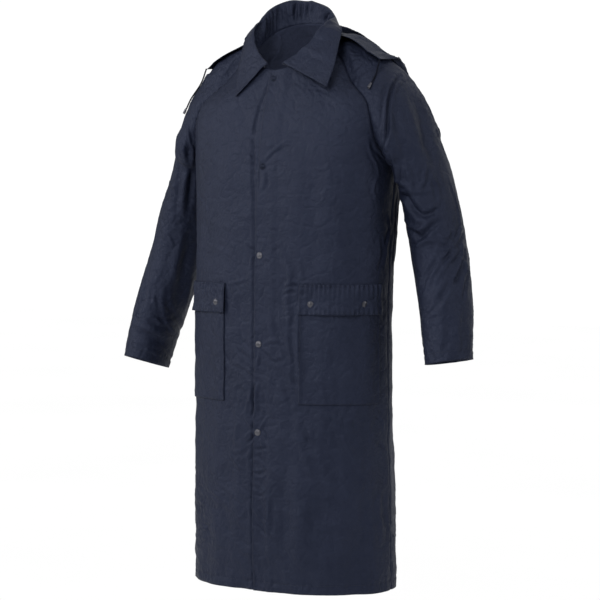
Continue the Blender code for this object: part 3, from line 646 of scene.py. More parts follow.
# %% [markdown]
# ## Relief: how cloth folds
#
# Thin coated cloth does not stretch, so wherever it has too much length it folds: a long soft
# trough with a small ridge along each side. Each crease below is a line of points on the flat
# cloth (distance round the body, height), with a depth and a width. They are placed one by one,
# where an arm bends, a snap pulls or a seam gathers, because real folds have causes. Even noise
# all over would look like bark.

# %% Functions for folds and crinkles
MILLIMETRE = 0.001
TENTH = 0.0001
LINE_STEPS = 6
CREASE_REACH = 3.6
RIDGE_SHARE = 0.40
RIDGE_PLACE = 2.0


def smooth_line(line):
    line = np.asarray(line, dtype=float)
    places = path_lengths(line)
    fine = np.linspace(0.0, places[-1], LINE_STEPS * (len(line) - 1) + 1)
    return read(np.column_stack((places, line)), fine)


def crease_relief(across, along, creases):
    """Troughs (positive depth) and ridges (negative depth) along listed lines."""
    relief = np.zeros(across.shape)
    for depth, width, *line in creases:
        depth, width = depth * TENTH, width * TENTH
        curve = smooth_line(np.reshape(line, (-1, 2)) * MILLIMETRE)
        margin = CREASE_REACH * width
        near = ((across > curve[:, 0].min() - margin) & (across < curve[:, 0].max() + margin)
                & (along > curve[:, 1].min() - margin) & (along < curve[:, 1].max() + margin))
        if not near.any():
            continue
        here = np.stack((across[near], along[near]), -1)
        closest = np.full(len(here), 1e9)
        place = np.zeros(len(here))
        for number, (first, second) in enumerate(zip(curve[:-1], curve[1:])):
            step = second - first
            part = np.clip(((here - first) @ step) / float(step @ step), 0.0, 1.0)
            away = np.linalg.norm(here - first - part[:, None] * step, axis=1)
            nearer = away < closest
            closest = np.where(nearer, away, closest)
            place = np.where(nearer, (number + part) / (len(curve) - 1), place)
        tapered = np.sqrt(np.clip(np.sin(pi * np.clip(place, 0.02, 0.98)), 0.0, 1.0))
        share = closest / width
        profile = -bell(share, 1.0) + RIDGE_SHARE * bell(share - RIDGE_PLACE, 1.0)
        relief[near] += depth * tapered * profile
    return relief


def waves(across, along, seed, length, count=9, stretch=1.0):
    """Smooth uneven waves between about -1 and 1, of roughly this length."""
    chance = np.random.RandomState(seed)
    total = np.zeros(np.broadcast(across, along).shape)
    for _ in range(count):
        turn = chance.uniform(0.0, pi)
        rate = 2 * pi / (length * chance.uniform(0.7, 1.6))
        phase = chance.uniform(0.0, 2 * pi)
        total = total + np.sin(
            rate * (across * cos(turn) + along / stretch * sin(turn)) + phase)
    return total / sqrt(count)


def crumple(across, along, seed, length, stretch=1.0):
    """Small flat facets with sharp bends between them, as in pressed and unpacked taffeta."""
    bent = 0.35 * length * waves(across, along, seed + 50, 2.2 * length)
    first = np.abs(waves(across + bent, along, seed, length, stretch=stretch))
    second = np.abs(waves(across, along + bent, seed + 1, 0.45 * length, stretch=stretch))
    return 0.7 - first - 0.35 * second


def crumples(across, along, sizes, shares, seed=0):
    """Crumples of several sizes, added up."""
    total = 0.0
    for (amount, draw, length, stretch), share in zip(sizes, shares):
        total = total + amount * share * crumple(across, along, seed + draw, length, stretch)
    return total


def line_pucker(away, along, reach, pitch, seed):
    """Short puckers across a stitched line: strongest at the line, gone at its reach."""
    uneven = waves(along, 0.0 * along, seed, 5 * pitch, count=4)
    beat = np.sin(2 * pi * along / pitch + 2.0 * uneven) * (0.7 + 0.3 * uneven)
    return beat * bell(away, reach)


def stitched(relief, away, along, line, seed):
    """A relief with the groove and the puckers of a stitched line added."""
    depth, width, height, reach, pitch = line
    relief = relief - depth * bell(away, width)
    return relief + height * line_pucker(away, along, reach, pitch, seed)


# Stitched lines: the groove's depth and width, then the puckers' height, reach and pitch.
HEM_LINE = (0.0011, 0.0030, 0.0008, 0.012, 0.014)
FRONT_LINE = (0.0001, 0.0024, 0.0005, 0.010, 0.017)
CUFF_LINE = (0.0010, 0.0028, 0.0007, 0.011, 0.012)
CHANNEL_LINE = (0.0024, 0.0034, 0.0008, 0.012, 0.012)

# Crumples from large to small: height, draw, length and stretch.
TORSO_CRUMPLES = ((0.0016, 3, 0.100, 1.6), (0.00100, 5, 0.036, 1.3), (0.00058, 7, 0.016, 1.0))
SLEEVE_CRUMPLES = ((0.0008, 0, 0.080, 1.5), (0.00085, 3, 0.030, 1.3), (0.00050, 7, 0.014, 1.0))
HOOD_CRUMPLES = ((0.0010, 71, 0.080, 1.0), (0.0006, 72, 0.030, 1.0))


# %% [markdown]
# The torso's creases come next. Each row gives a depth and a width in tenths of a millimetre, and
# then its points in millimetres: the distance round the coat from the middle of the front, to
# the wearer's left, and the height. The points were picked by eye in a flat front view; a small
# separate program turned them into places on the cloth and rounded them.

# %% Creases of the torso
TORSO_CREASES = (
    (-15, 26, 0, -256, 8, -237, 18, -225, 28, -215, 45, -214),
    (15, 24, 2, -256, 16, -237, 29, -228, 51, -224),
    (16, 24, 2, -271, 7, -288, 8, -306, 0, -319),
    (-15, 24, 0, -271, 2, -288, 0, -306, -1, -315),
    (18, 26, -10, -256, -18, -240, -29, -228, -32, -218),
    (-15, 26, -10, -253, -15, -234, -23, -215, -27, -206),
    (-15, 24, -7, -250, -12, -222, -17, -197, -23, -181),
    (25, 198, 65, -213, 83, -266, 100, -328, 107, -386, 126, -443),
    (-18, 180, 204, -266, 219, -311, 237, -377, 237, -421),
    (16, 126, 168, -311, 184, -355, 192, -408, 207, -452),
    (18, 126, -80, -226, -102, -262, -118, -311, -115, -355),
    (16, 84, -29, -364, -24, -408, -17, -447),
    (-32, 37, 288, -364, 299, -394, 288, -425, 284, -452, 280, -478),
    (28, 37, 268, -412, 272, -439, 268, -465, 261, -483),
    (24, 37, 220, -210, 232, -231, 249, -243, 266, -258),
    (-19, 34, 213, -220, 227, -243, 246, -266, 253, -284),
    (-18, 37, 253, -284, 240, -311, 247, -337),
    (-16, 28, -212, -311, -169, -337, -145, -355),
    (19, 31, 76, -465, 81, -483, 86, -496),
    (-18, 31, 85, -456, 91, -478, 96, -496),
    (28, 28, 56, -518, 76, -509, 91, -514),
    (-24, 28, 55, -505, 77, -518, 91, -527),
    (23, 28, 56, -531, 72, -522, 86, -522),
    (23, 31, -71, -496, -56, -514, -45, -527),
    (-19, 31, -76, -509, -55, -505, -39, -500),
    (18, 31, -61, -536, -51, -558, -51, -584),
    (23, 28, -13, -443, -21, -439, -29, -430),
    (-18, 28, -14, -447, -21, -456, -22, -474),
    (-32, 56, 36, -421, 54, -456, 66, -492, 61, -531, 67, -580),
    (-33, 37, 87, -549, 87, -593, 88, -646, 93, -699, 93, -748),
    (28, 37, 77, -558, 72, -611, 78, -668, 83, -726),
    (24, 62, 28, -567, 46, -611, 63, -655, 73, -686),
    (32, 37, 1, -642, 17, -655, 33, -668, 57, -664),
    (-24, 37, 37, -668, 57, -686, 78, -708, 93, -739),
    (-23, 31, 1, -646, -2, -664, -7, -686),
    (19, 50, 47, -686, 58, -708, 68, -739, 79, -770),
    (24, 34, -16, -673, -36, -659, -57, -646),
    (-23, 34, -12, -695, -32, -686, -63, -673),
    (19, 34, -16, -651, -32, -637, -46, -624),
    (-18, 37, 13, -628, 36, -624, 62, -628),
    (33, 31, -16, -721, -16, -743, -16, -770, -25, -792),
    (-32, 34, -3, -712, -7, -730, -7, -752, -3, -774),
    (-23, 37, -24, -730, -29, -756, -37, -783),
    (19, 44, 10, -726, 14, -752, 26, -779),
    (37, 28, -8, -818, -21, -832, -29, -840),
    (-28, 28, -12, -814, -25, -818, -34, -827),
    (33, 28, 6, -809, 18, -818, 22, -832),
    (-24, 28, 6, -823, 10, -840, 18, -858),
    (-23, 28, 1, -809, 10, -796, 22, -783),
    (19, 28, 10, -805, 30, -801, 47, -796),
    (-19, 31, -16, -805, -29, -792, -37, -774),
    (19, 37, -25, -849, -42, -862, -64, -867),
    (32, 31, -11, -849, 6, -849, 22, -845),
    (-32, 34, -11, -871, 6, -876, 18, -889),
    (28, 31, -11, -898, 1, -902, 22, -893),
    (-28, 34, -11, -920, 1, -924, 18, -933),
    (24, 31, -11, -942, 1, -946, 22, -942),
    (-23, 34, -11, -968, 1, -986, 22, -1004),
    (23, 34, -15, -990, 6, -1013, 30, -1030),
    (-18, 34, -21, -854, -29, -871, -25, -898),
    (-19, 31, -79, -858, -64, -876, -42, -893),
    (18, 28, -74, -889, -53, -898, -42, -915),
    (-16, 31, -150, -915, -98, -933, -53, -955, -21, -986),
    (16, 31, -183, -942, -125, -955, -79, -977),
    (-16, 28, -187, -999, -141, -968, -103, -951),
    (-18, 28, -228, -1061, -149, -1030, -112, -1021),
    (16, 28, -183, -1074, -141, -1052, -116, -1043),
    (-18, 28, -169, -1021, -145, -1035, -129, -1057),
    (-18, 50, -53, -792, -58, -827, -59, -854),
    (24, 44, 103, -805, 112, -823, 125, -840),
    (-19, 34, 112, -801, 120, -818, 121, -836),
    (-24, 69, 165, -783, 183, -823, 204, -862, 231, -898),
    (24, 84, 142, -845, 161, -885, 183, -929),
    (-23, 62, 88, -779, 89, -818, 107, -862, 121, -898),
    (-34, 144, 98, -915, 103, -968, 98, -1021, 98, -1079),
    (34, 153, 64, -876, 58, -937, 63, -1008, 58, -1070),
    (30, 135, 142, -933, 137, -986, 137, -1039, 141, -1083),
    (-30, 135, 176, -960, 180, -1013, 183, -1066),
    (34, 153, 231, -937, 228, -990, 225, -1043, 228, -1083),
    (-28, 69, 269, -929, 265, -982, 272, -1039),
    (-19, 37, 191, -787, 208, -783, 235, -796),
    (-28, 69, 18, -929, 26, -973, 22, -1026),
    (18, 31, 161, -977, 176, -995, 194, -1004),
    (-18, 31, 165, -1035, 183, -1026, 204, -1030),
    (18, 31, 107, -977, 120, -995, 125, -1017),
    (-19, 31, 258, -770, 276, -787, 280, -814),
    (19, 31, 245, -823, 265, -836, 284, -854),
    # hidden back
    (57, 144, 423, -215, 453, -290, 468, -400, 461, -520, 453, -640),
    (-51, 126, 388, -225, 408, -300, 423, -420, 415, -560),
    (57, 144, 733, -215, 701, -300, 693, -420, 685, -560, 691, -680),
    (-53, 126, 769, -235, 745, -320, 737, -450, 743, -590),
    (-39, 135, 543, -270, 553, -400, 538, -560, 543, -700),
    (39, 135, 601, -250, 613, -380, 603, -520, 615, -640),
    (37, 44, 368, -262, 408, -280, 453, -310, 498, -352),
    (-32, 37, 373, -285, 413, -305, 455, -340),
    (37, 44, 783, -262, 743, -285, 698, -320, 658, -372),
    (-32, 37, 778, -290, 733, -316, 695, -356),
    (28, 37, 358, -340, 393, -372, 433, -392),
    (28, 37, 791, -345, 751, -382, 713, -405),
    (-28, 44, 483, -480, 523, -500, 573, -505),
    (32, 50, 493, -505, 543, -528, 603, -520, 643, -500),
    (-28, 44, 593, -545, 643, -530, 683, -505),
    (24, 37, 393, -560, 433, -590, 473, -600),
    (-24, 37, 723, -600, 683, -630, 643, -640),
    (-51, 171, 378, -760, 368, -880, 373, -1000, 365, -1120),
    (51, 162, 418, -720, 423, -860, 415, -1000, 423, -1130),
    (-51, 171, 483, -760, 475, -880, 483, -1000, 477, -1130),
    (46, 153, 528, -780, 533, -900, 527, -1020, 533, -1130),
    (-51, 162, 585, -740, 577, -880, 585, -1010, 579, -1130),
    (51, 162, 643, -740, 651, -880, 643, -1000, 651, -1130),
    (-48, 162, 701, -760, 693, -900, 703, -1030, 697, -1130),
    (46, 153, 755, -720, 763, -860, 757, -1000, 763, -1120),
    (-23, 34, 453, -840, 483, -880, 523, -900),
    (23, 34, 513, -960, 553, -990, 593, -1000),
    (-23, 34, 633, -900, 673, -930, 723, -940),
    (23, 34, 663, -1010, 703, -1040, 753, -1050),
    (-19, 31, 373, -930, 413, -960, 453, -972),
    (19, 31, 383, -1060, 423, -1085, 463, -1090),
    (-32, 37, 333, -300, 341, -380, 335, -460),
    (32, 37, 311, -320, 317, -400, 311, -480),
    (-32, 37, 819, -300, 813, -390, 819, -470),
    (32, 37, 841, -330, 835, -410, 841, -500),
    (42, 62, 513, -150, 483, -190, 443, -210),
    (42, 62, 633, -150, 665, -190, 707, -212),
)
HANG_FROM_Z = -0.30
HANG_SPAN = 0.75
HANG_DEPTH = 0.0014
SEAM_CALM = 0.02
SNAP_X = -0.002
SNAP_TOP_Z = -0.084
SNAP_PITCH = 0.183
SNAP_COUNT = 5
SNAP_HEIGHTS = [SNAP_TOP_Z - SNAP_PITCH * number for number in range(SNAP_COUNT)]


def torso_relief(around, height):
    """How far the torso's cloth stands out of its plain form, at many places."""
    low = ease((HANG_FROM_Z - height) / HANG_SPAN)
    turn = 2 * pi * around / GIRTH
    sway = 1.2 * np.sin(3.1 * height + 1.0) + 0.5 * np.sin(9.0 * height)
    hang = (np.sin(9 * turn + sway) + 0.7 * np.sin(14 * turn - 1.3 * sway + 2.0)
            + 0.5 * np.sin(23 * turn + sway + 4.0))
    relief = HANG_DEPTH * hang * (0.25 + 0.75 * low)
    for shift in (-GIRTH, 0.0, GIRTH):
        relief = relief + crease_relief(around + shift, height, TORSO_CREASES)
    from_seam = np.abs((around - RIGHT_SEAM + GIRTH / 2) % GIRTH - GIRTH / 2)
    clear = 1.0 - bell(from_seam, SEAM_CALM)
    busy = np.clip(0.55 + 0.55 * waves(around, height, 2, 0.30), 0.15, 1.3) * (0.36 + 0.74 * low)
    shares = (0.5 + 0.5 * low, busy, busy)
    return relief + clear * crumples(around, height, TORSO_CRUMPLES, shares)


def stitch_relief(around, height):
    """The hem's turned band, the edge stitching and the pull of the snaps."""
    relief = stitched(0.0, np.abs(height - HEM_STITCH_Z), around, HEM_LINE, 11)
    relief = stitched(relief, np.abs(around - EDGE_STITCH), height, FRONT_LINE, 12)
    for number, snap_z in enumerate(SNAP_HEIGHTS):
        step_x, step_z = around - SNAP_X, height - snap_z
        away = np.hypot(step_x, step_z)
        angle = np.arctan2(step_z, step_x)
        rays = np.cos(7 * angle + 1.7 * number) + 0.7 * np.cos(12 * angle - number)
        begins = ease((away - 0.004) / SNAP_REACH)
        relief = relief + SNAP_RAYS * rays * begins * np.exp(-away / 0.024)
        relief = relief - SNAP_DENT * bell(away, SNAP_REACH)
    return relief


def relief_at(around, height):
    """All the relief of the torso's cloth, and of what lies on it."""
    return torso_relief(around, height) + stitch_relief(around, height)


RIGHT_SEAM = float(around_of(-90.0))
HEM_BAND = 0.019
HEM_STITCH_Z = HEM_Z + HEM_BAND
EDGE_STITCH = LAP_EDGE + 0.003
SNAP_DENT = 0.0012
SNAP_RAYS = 0.0008
SNAP_REACH = 0.014

# %% [markdown]
# ## Materials
#
# Coated taffeta is a plain weave of fine yarns, pressed flat and coated on one side. Close up it
# shows a tiny grid of yarns; from a step away it shows soft sheen, faint clouds of colour and
# hairline crinkles that never press out. The node group below puts out just those: a colour, a
# roughness and a height. Each material decides what to do with them.

# %% The cloth's node group
YARNS_PER_METRE = 900.0


def add_node(tree, kind, place, settings=None, **inputs):
    """A node at a place, with its settings, its constants and its links."""
    node = tree.nodes.new(kind)
    node.location = place
    for name, value in (settings or {}).items():
        setattr(node, name, value)
    for name, value in inputs.items():
        socket = node.inputs[int(name[1:])] if name[1:].isdigit() else node.inputs[name]
        if isinstance(value, bpy.types.NodeSocket):
            tree.links.new(value, socket)
        else:
            socket.default_value = value
    return node


def blend_colours(tree, place, factor, first, second):
    mix = add_node(tree, "ShaderNodeMix", place, {"data_type": "RGBA"}, _0=factor, _6=first,
                   _7=second)
    return mix.outputs[2]


def spread(tree, place, value, low, high, new_low, new_high):
    """Stretch a value from one span to another."""
    node = add_node(tree, "ShaderNodeMapRange", place, _0=value, _1=low, _2=high, _3=new_low,
                    _4=new_high)
    return node.outputs[0]


def calculate(tree, place, operation, *values):
    """The result of a Math node."""
    numbered = {f"_{number}": value for number, value in enumerate(values)}
    node = add_node(tree, "ShaderNodeMath", place, {"operation": operation}, **numbered)
    return node.outputs[0]


def bump_of(tree, height, strength, distance):
    """A bump from a height."""
    node = add_node(tree, "ShaderNodeBump", (100, -300), Strength=strength, Distance=distance,
                    Height=height)
    return node.outputs[0]


GROUP_SOCKETS = (
    ("INPUT", "Vector", ("Place", "Body")), ("INPUT", "Color", ("Deep", "Light")),
    ("INPUT", "Float", ("Matte", "Wear")), ("OUTPUT", "Color", ("Color",)),
    ("OUTPUT", "Float", ("Roughness", "Height")))
WORN_COLOUR = (0.060, 0.072, 0.105, 1.0)


def cloth_group():
    """Taffeta: a colour, a roughness and a height from a place on the cloth in metres."""
    group = bpy.data.node_groups.new("coated taffeta", "ShaderNodeTree")
    for in_out, kind, names in GROUP_SOCKETS:
        for name in names:
            group.interface.new_socket(name, in_out=in_out, socket_type=f"NodeSocket{kind}")
    given = add_node(group, "NodeGroupInput", (-1400, 0)).outputs
    result = add_node(group, "NodeGroupOutput", (900, 0))

    clouds = add_node(group, "ShaderNodeTexNoise", (-1000, 300), Vector=given["Body"],
                      Scale=7.0, Detail=5.0, Roughness=0.62).outputs[0]
    fine = add_node(group, "ShaderNodeTexNoise", (-1000, 60), Vector=given["Body"],
                    Scale=60.0, Detail=4.0, Roughness=0.6).outputs
    facets = add_node(group, "ShaderNodeTexVoronoi", (-1000, -200),
                      {"feature": "F1", "distance": "EUCLIDEAN"},
                      Vector=given["Body"], Scale=38.0, Randomness=1.0)
    bent = add_node(group, "ShaderNodeVectorMath", (-1180, -340), {"operation": "MULTIPLY_ADD"},
                    _0=fine[1], _1=(0.014, 0.014, 0.014), _2=given["Body"])
    lines = [add_node(group, "ShaderNodeTexVoronoi", (-1000, -360 - 20 * number),
                      {"feature": "DISTANCE_TO_EDGE"}, Vector=bent.outputs[0], Scale=scale)
             for number, scale in enumerate((31.0, 74.0))]
    hairs = [spread(group, (-800, -360), line.outputs[0], 0.0, reach, 0.0, 1.0)
             for line, reach in zip(lines, (0.16, 0.20))]
    split = add_node(group, "ShaderNodeSeparateXYZ", (-1200, -500), _0=given["Place"])
    yarns = []
    for number, axis in enumerate("XY"):
        low = -500 - 160 * number
        turned = calculate(group, (-1000, low), "MULTIPLY", split.outputs[axis],
                           2 * pi * YARNS_PER_METRE)
        yarns.append(calculate(group, (-820, low), "SINE", turned))
    weave = calculate(group, (-640, -560), "MULTIPLY", *yarns)

    mixing = calculate(group, (-760, 240), "MULTIPLY_ADD", fine[0], 0.45, clouds)
    tone = spread(group, (-560, 240), mixing, 0.42, 1.02, 0.0, 1.0)
    colour = blend_colours(group, (-300, 240), tone, given["Deep"], given["Light"])
    faded = calculate(group, (-300, 20), "MULTIPLY", given["Wear"], fine[0])
    colour = blend_colours(group, (-60, 240), faded, colour, WORN_COLOUR)
    shine = calculate(group, (-300, -160), "MULTIPLY_ADD", clouds, 0.16, given["Matte"])
    rough = calculate(group, (-60, -160), "MULTIPLY_ADD", fine[0], 0.10, shine)
    height = calculate(group, (-300, -420), "MULTIPLY_ADD", facets.outputs[0], 0.55, fine[0])
    height = calculate(group, (-60, -420), "MULTIPLY_ADD", weave, 0.05, height)
    for hair, share in zip(hairs, (0.50, 0.26)):
        height = calculate(group, (100, -420), "MULTIPLY_ADD", hair, share, height)
    for name, value in (("Color", colour), ("Roughness", rough), ("Height", height)):
        group.links.new(value, result.inputs[name])
    return group


# %% [markdown]
# The coat's finishes: the coated and the uncoated side of the cloth, a light metal and the same
# metal painted darker as painted shade, and the cord. The uncoated side is paler partly by its own
# tone and partly as painted light on the shaded inside.

# %% Materials of the coat
def principled(name):
    """A new material with its node tree and its Principled node."""
    material = bpy.data.materials.new(name)
    material.use_nodes = True
    tree = material.node_tree
    tree.nodes.clear()
    out = add_node(tree, "ShaderNodeOutputMaterial", (700, 0))
    shader = add_node(tree, "ShaderNodeBsdfPrincipled", (400, 0))
    tree.links.new(shader.outputs[0], out.inputs[0])
    return material, tree, shader


def wire(tree, shader, colour, rough, bump=None):
    """Link a colour, a roughness and, where there is one, a bump to a shader."""
    for name, value in (("Base Color", colour), ("Roughness", rough), ("Normal", bump)):
        if value is not None:
            tree.links.new(value, shader.inputs[name])


def grain_material(name, scale, dark, light, rough, bump, detail=3.0, mix=0.5, metallic=0.0):
    """A material whose colour, roughness and height follow one fine noise."""
    material, tree, shader = principled(name)
    where = add_node(tree, "ShaderNodeTexCoord", (-700, 0))
    grain = add_node(tree, "ShaderNodeTexNoise", (-450, 100), Vector=where.outputs["Object"],
                     Scale=scale, Detail=detail, Roughness=mix).outputs[0]
    colour = blend_colours(tree, (-150, 100), grain, (*dark, 1.0), (*light, 1.0))
    wire(tree, shader, colour, spread(tree, (-150, -120), grain, 0.3, 0.7, *rough),
         bump_of(tree, grain, *bump))
    shader.inputs["Metallic"].default_value = metallic
    return material


def cloth_material(group, name, deep, light, matte, wear):
    material, tree, shader = principled(name)
    where = add_node(tree, "ShaderNodeTexCoord", (-700, -200))
    place = add_node(tree, "ShaderNodeUVMap", (-700, 100), {"uv_map": "cloth"})
    look = add_node(tree, "ShaderNodeGroup", (-300, 0), {"node_tree": group},
                    Place=place.outputs[0], Body=where.outputs["Object"], Deep=(*deep, 1.0),
                    Light=(*light, 1.0), Matte=matte, Wear=wear).outputs
    wire(tree, shader, look["Color"], look["Roughness"],
         bump_of(tree, look["Height"], 0.70, 0.0020))
    shader.inputs["Specular IOR Level"].default_value = 0.30
    shader.inputs["Specular Tint"].default_value = (0.62, 0.70, 1.0, 1.0)
    return material


TAFFETA = cloth_group()
NAVY = cloth_material(TAFFETA, "navy taffeta", (0.0072, 0.0096, 0.0216),
                      (0.0135, 0.0168, 0.0340), 0.37, 0.10)
# The inside colour is paler: partly the uncoated side's own tone, partly painted light on the
# shell's shaded inside.
UNCOATED_SIDE_AND_PAINTED_LIGHT = cloth_material(TAFFETA, "uncoated side and painted light", (0.0190, 0.0230, 0.0430),
                        (0.0330, 0.0390, 0.0660), 0.62, 0.05)
print("materials:", len(bpy.data.materials))


def metal_material(name, dark, light):
    """Tumbled metal, brushed by handling, between a dark and a light colour."""
    return grain_material(name, 420.0, dark, light, (0.34, 0.50), (0.2, 0.0003), detail=4.0,
                          mix=0.6, metallic=1.0)


def cord_material():
    """A braided cord: two sets of strands that cross on the slant."""
    material, tree, shader = principled("navy cord")
    where = add_node(tree, "ShaderNodeTexCoord", (-900, 0))
    bands = []
    for number, slant in enumerate((1.0, -1.0)):
        turned = add_node(tree, "ShaderNodeMapping", (-700, 200 - 300 * number),
                          Vector=where.outputs["Object"], Rotation=(0.6 * slant, 0.8, 0.0))
        bands.append(add_node(tree, "ShaderNodeTexWave", (-450, 200 - 300 * number),
                              Vector=turned.outputs[0], Scale=190.0, Distortion=0.6).outputs[1])
    braid = calculate(tree, (-220, 0), "MULTIPLY", *bands)
    colour = blend_colours(tree, (0, 150), braid, (0.004, 0.005, 0.010, 1.0),
                           (0.010, 0.013, 0.024, 1.0))
    wire(tree, shader, colour, spread(tree, (0, -80), braid, 0.0, 1.0, 0.78, 0.94),
         bump_of(tree, braid, 0.6, 0.0004))
    shader.inputs["Specular IOR Level"].default_value = 0.10
    return material


METAL = metal_material("snap metal", (0.085, 0.085, 0.098), (0.17, 0.17, 0.19))
# The same snap metal painted darker: painted shade on the two top caps.
SHADED_SNAP_METAL = metal_material("snap metal painted shaded", (0.008, 0.010, 0.018), (0.024, 0.028, 0.044))
CORD = cord_material()

# %% [markdown]
# ## From a grid to a cloth wall
#
# A cloth piece is a closed thin wall: the outer surface, the same surface one wall thickness
# further in, and a rim between the two along every free edge. The outer surface gets a UV map
# measured in metres along the cloth, so that the weave keeps one size on every piece.

# %% Functions that make a piece
CLOTH = 0.0009


def grid_normals(grid, closed_from, flip):
    """Unit normals of a grid; in closed rows the first and the last column are one point."""
    along = np.gradient(grid, axis=0)
    across = np.gradient(grid, axis=1)
    if closed_from is not None:
        wrap = grid[closed_from:, 1] - grid[closed_from:, -2]
        across[closed_from:, 0] = across[closed_from:, -1] = wrap
    normals = unit(np.cross(along, across))
    return -normals if flip else normals


class Panel:
    """One cloth piece before it has a thickness."""

    def __init__(self, name, grid, across, along, flip=False, closed_from=None):
        self.name, self.grid, self.across, self.along = name, grid, across, along
        self.flip, self.closed_from = flip, closed_from
        self.normals = grid_normals(grid, closed_from, flip)
        self.relief = np.zeros(grid.shape[:2])

    def raised(self):
        """The grid with its relief."""
        return self.grid + self.normals * self.relief[..., None]


def grid_quads(rows, columns, flip):
    first = (np.arange(rows - 1)[:, None] * columns + np.arange(columns - 1)[None]).ravel()
    quads = np.stack((first, first + 1, first + columns + 1, first + columns), 1)
    return quads if flip else quads[:, ::-1]


def surface_tree(panels):
    """A search tree of the outer surface of several panels."""
    points, quads, count = [], [], 0
    for panel in panels:
        rows, columns = panel.grid.shape[:2]
        points.append(panel.raised().reshape(-1, 3))
        quads.append(grid_quads(rows, columns, panel.flip) + count)
        count += rows * columns
    return BVHTree.FromPolygons(
        np.concatenate(points).tolist(), np.concatenate(quads).tolist())


def border_quads(quads):
    """The border edges of a sheet of quads, in the order in which its faces go round."""
    edges = np.concatenate([quads[:, [corner, (corner + 1) % 4]] for corner in range(4)])
    known = {tuple(edge) for edge in edges.tolist()}
    return [edge for edge in edges.tolist()
            if (edge[1], edge[0]) not in known and edge[0] != edge[1]]


def cloth_piece(panel, material, inside):
    """Build the wall of a panel, with its own finish on the inside, and add it to the scene."""
    rows, columns = panel.grid.shape[:2]
    outer = panel.raised().reshape(-1, 3)
    inner = outer - panel.normals.reshape(-1, 3) * CLOTH
    count = rows * columns
    same = np.arange(count)
    if panel.closed_from is not None:
        closed = np.arange(panel.closed_from, rows) * columns
        same[closed + columns - 1] = closed
    sheet = grid_quads(rows, columns, panel.flip)
    merged = same[sheet]
    rims = [(second, first, first + count, second + count)
            for first, second in border_quads(merged)]
    faces = np.concatenate((merged, merged[:, ::-1] + count, np.array(rims)))
    mesh = bpy.data.meshes.new(panel.name)
    mesh.from_pydata(np.concatenate((outer, inner)).tolist(), [], faces.tolist())
    places = np.stack((panel.across.ravel(), panel.along.ravel()), 1)
    corners = np.concatenate((sheet, sheet[:, ::-1], np.array(rims) % count)).ravel()
    layer = mesh.uv_layers.new(name="cloth")
    layer.data.foreach_set("uv", places[corners].ravel())
    shape = bmesh.new()
    shape.from_mesh(mesh)
    bmesh.ops.delete(
        shape, geom=[vert for vert in shape.verts if not vert.link_faces], context="VERTS")
    shape.to_mesh(mesh)
    shape.free()
    mesh.shade_smooth()
    mesh.materials.append(material)
    mesh.materials.append(inside)
    sides = np.zeros(len(faces), dtype=np.int32)
    sides[len(merged):2 * len(merged)] = 1
    mesh.polygons.foreach_set("material_index", sides)
    piece = bpy.data.objects.new(f"{panel.name}_cloth", mesh)
    SCENE.collection.objects.link(piece)
    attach(piece, BODY)
    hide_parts(panel.name)
    print(panel.name, "faces:", len(mesh.polygons))

# %% [markdown]
# ## The shell: fronts, back and sleeves
#
# These five pieces share their seams. First their grids are made, then every pair of edges that
# is sewn together gets one common normal, and then the relief moves the cloth in and out. Along
# each seam the relief ends in a small groove, the same one on both sides.

# %% Grids and seams of the shell
front_left = Panel("front_left", *front_grid(1), flip=True)
front_right = Panel("front_right", *front_grid(-1))
back = Panel("back", *back_grid(), flip=True)
sleeve_left = Panel("sleeve_left", *sleeve_grid(1), closed_from=UPPER_ROWS)
sleeve_right = Panel("sleeve_right", *sleeve_grid(-1), flip=True, closed_from=UPPER_ROWS)
SHELL = [front_left, front_right, back, sleeve_left, sleeve_right]

BELOW = slice(0, LOWER_ROWS + 1)
ABOVE = slice(LOWER_ROWS, LOWER_ROWS + UPPER_ROWS + 1)
RAGLAN = slice(UPPER_ROWS, None, -1)
RAGLAN_SEAMS = [
    (front_left, -1, sleeve_left, 0), (back, 0, sleeve_left, -1),
    (front_right, -1, sleeve_right, 0), (back, -1, sleeve_right, -1)]
SIDE_SEAMS = [(front_left, -1, back, 0), (front_right, -1, back, -1)]


def share_normals(first, first_place, second, second_place):
    """Give two sewn edges one common normal."""
    common = unit(first.normals[first_place] + second.normals[second_place])
    first.normals[first_place] = common
    second.normals[second_place] = common


for front, column, other, other_column in SIDE_SEAMS:
    share_normals(front, (BELOW, column), other, (BELOW, other_column))
for torso_part, column, sleeve, sleeve_column in RAGLAN_SEAMS:
    share_normals(torso_part, (ABOVE, column), sleeve, (RAGLAN, sleeve_column))
print("shell points:", sum(panel.grid.shape[0] * panel.grid.shape[1] for panel in SHELL))


# %% Relief of the shell
SEAM_FADE = 0.012
SEAM_GROOVE = 0.0012
SEAM_WIDTH = 0.0022
SEAM_PUCKER = 0.0009
PUCKER_PLACE = 0.006
SEAM_PITCH = 0.015
EDGE_LIFT = 0.0007
EDGE_LIFT_WIDTH = 0.0050
EDGE_SHADE = 0.0045
SHADE_PLACE = 0.0030
SHADE_WIDTH = 0.0026
NECK_FADE = 0.012
SEAM_CLEAR = 0.022


def column_distance(panel, column):
    """Distance of every point from one of its row's ends, along the row."""
    from_start = row_lengths(panel.grid)
    return from_start if column == 0 else from_start[:, -1:] - from_start


def seam_finish(panel, relief, distance, rows, seed, fade):
    """End the relief in a groove at a seam, with a row of puckers beside it."""
    kept = relief[rows]
    away = distance[rows]
    along = panel.along[rows]
    kept = kept * (1.0 - fade * bell(away, SEAM_FADE))
    kept = kept - SEAM_GROOVE * bell(away, SEAM_WIDTH)
    beside = bell(away - PUCKER_PLACE, PUCKER_PLACE) * (1.0 - bell(away, PUCKER_PLACE / 2))
    uneven = waves(along, 0.0 * along, seed, 6 * SEAM_PITCH, count=4)
    kept = kept + SEAM_PUCKER * beside * np.sin(2 * pi * along / SEAM_PITCH + 2 * uneven) * fade
    relief[rows] = kept


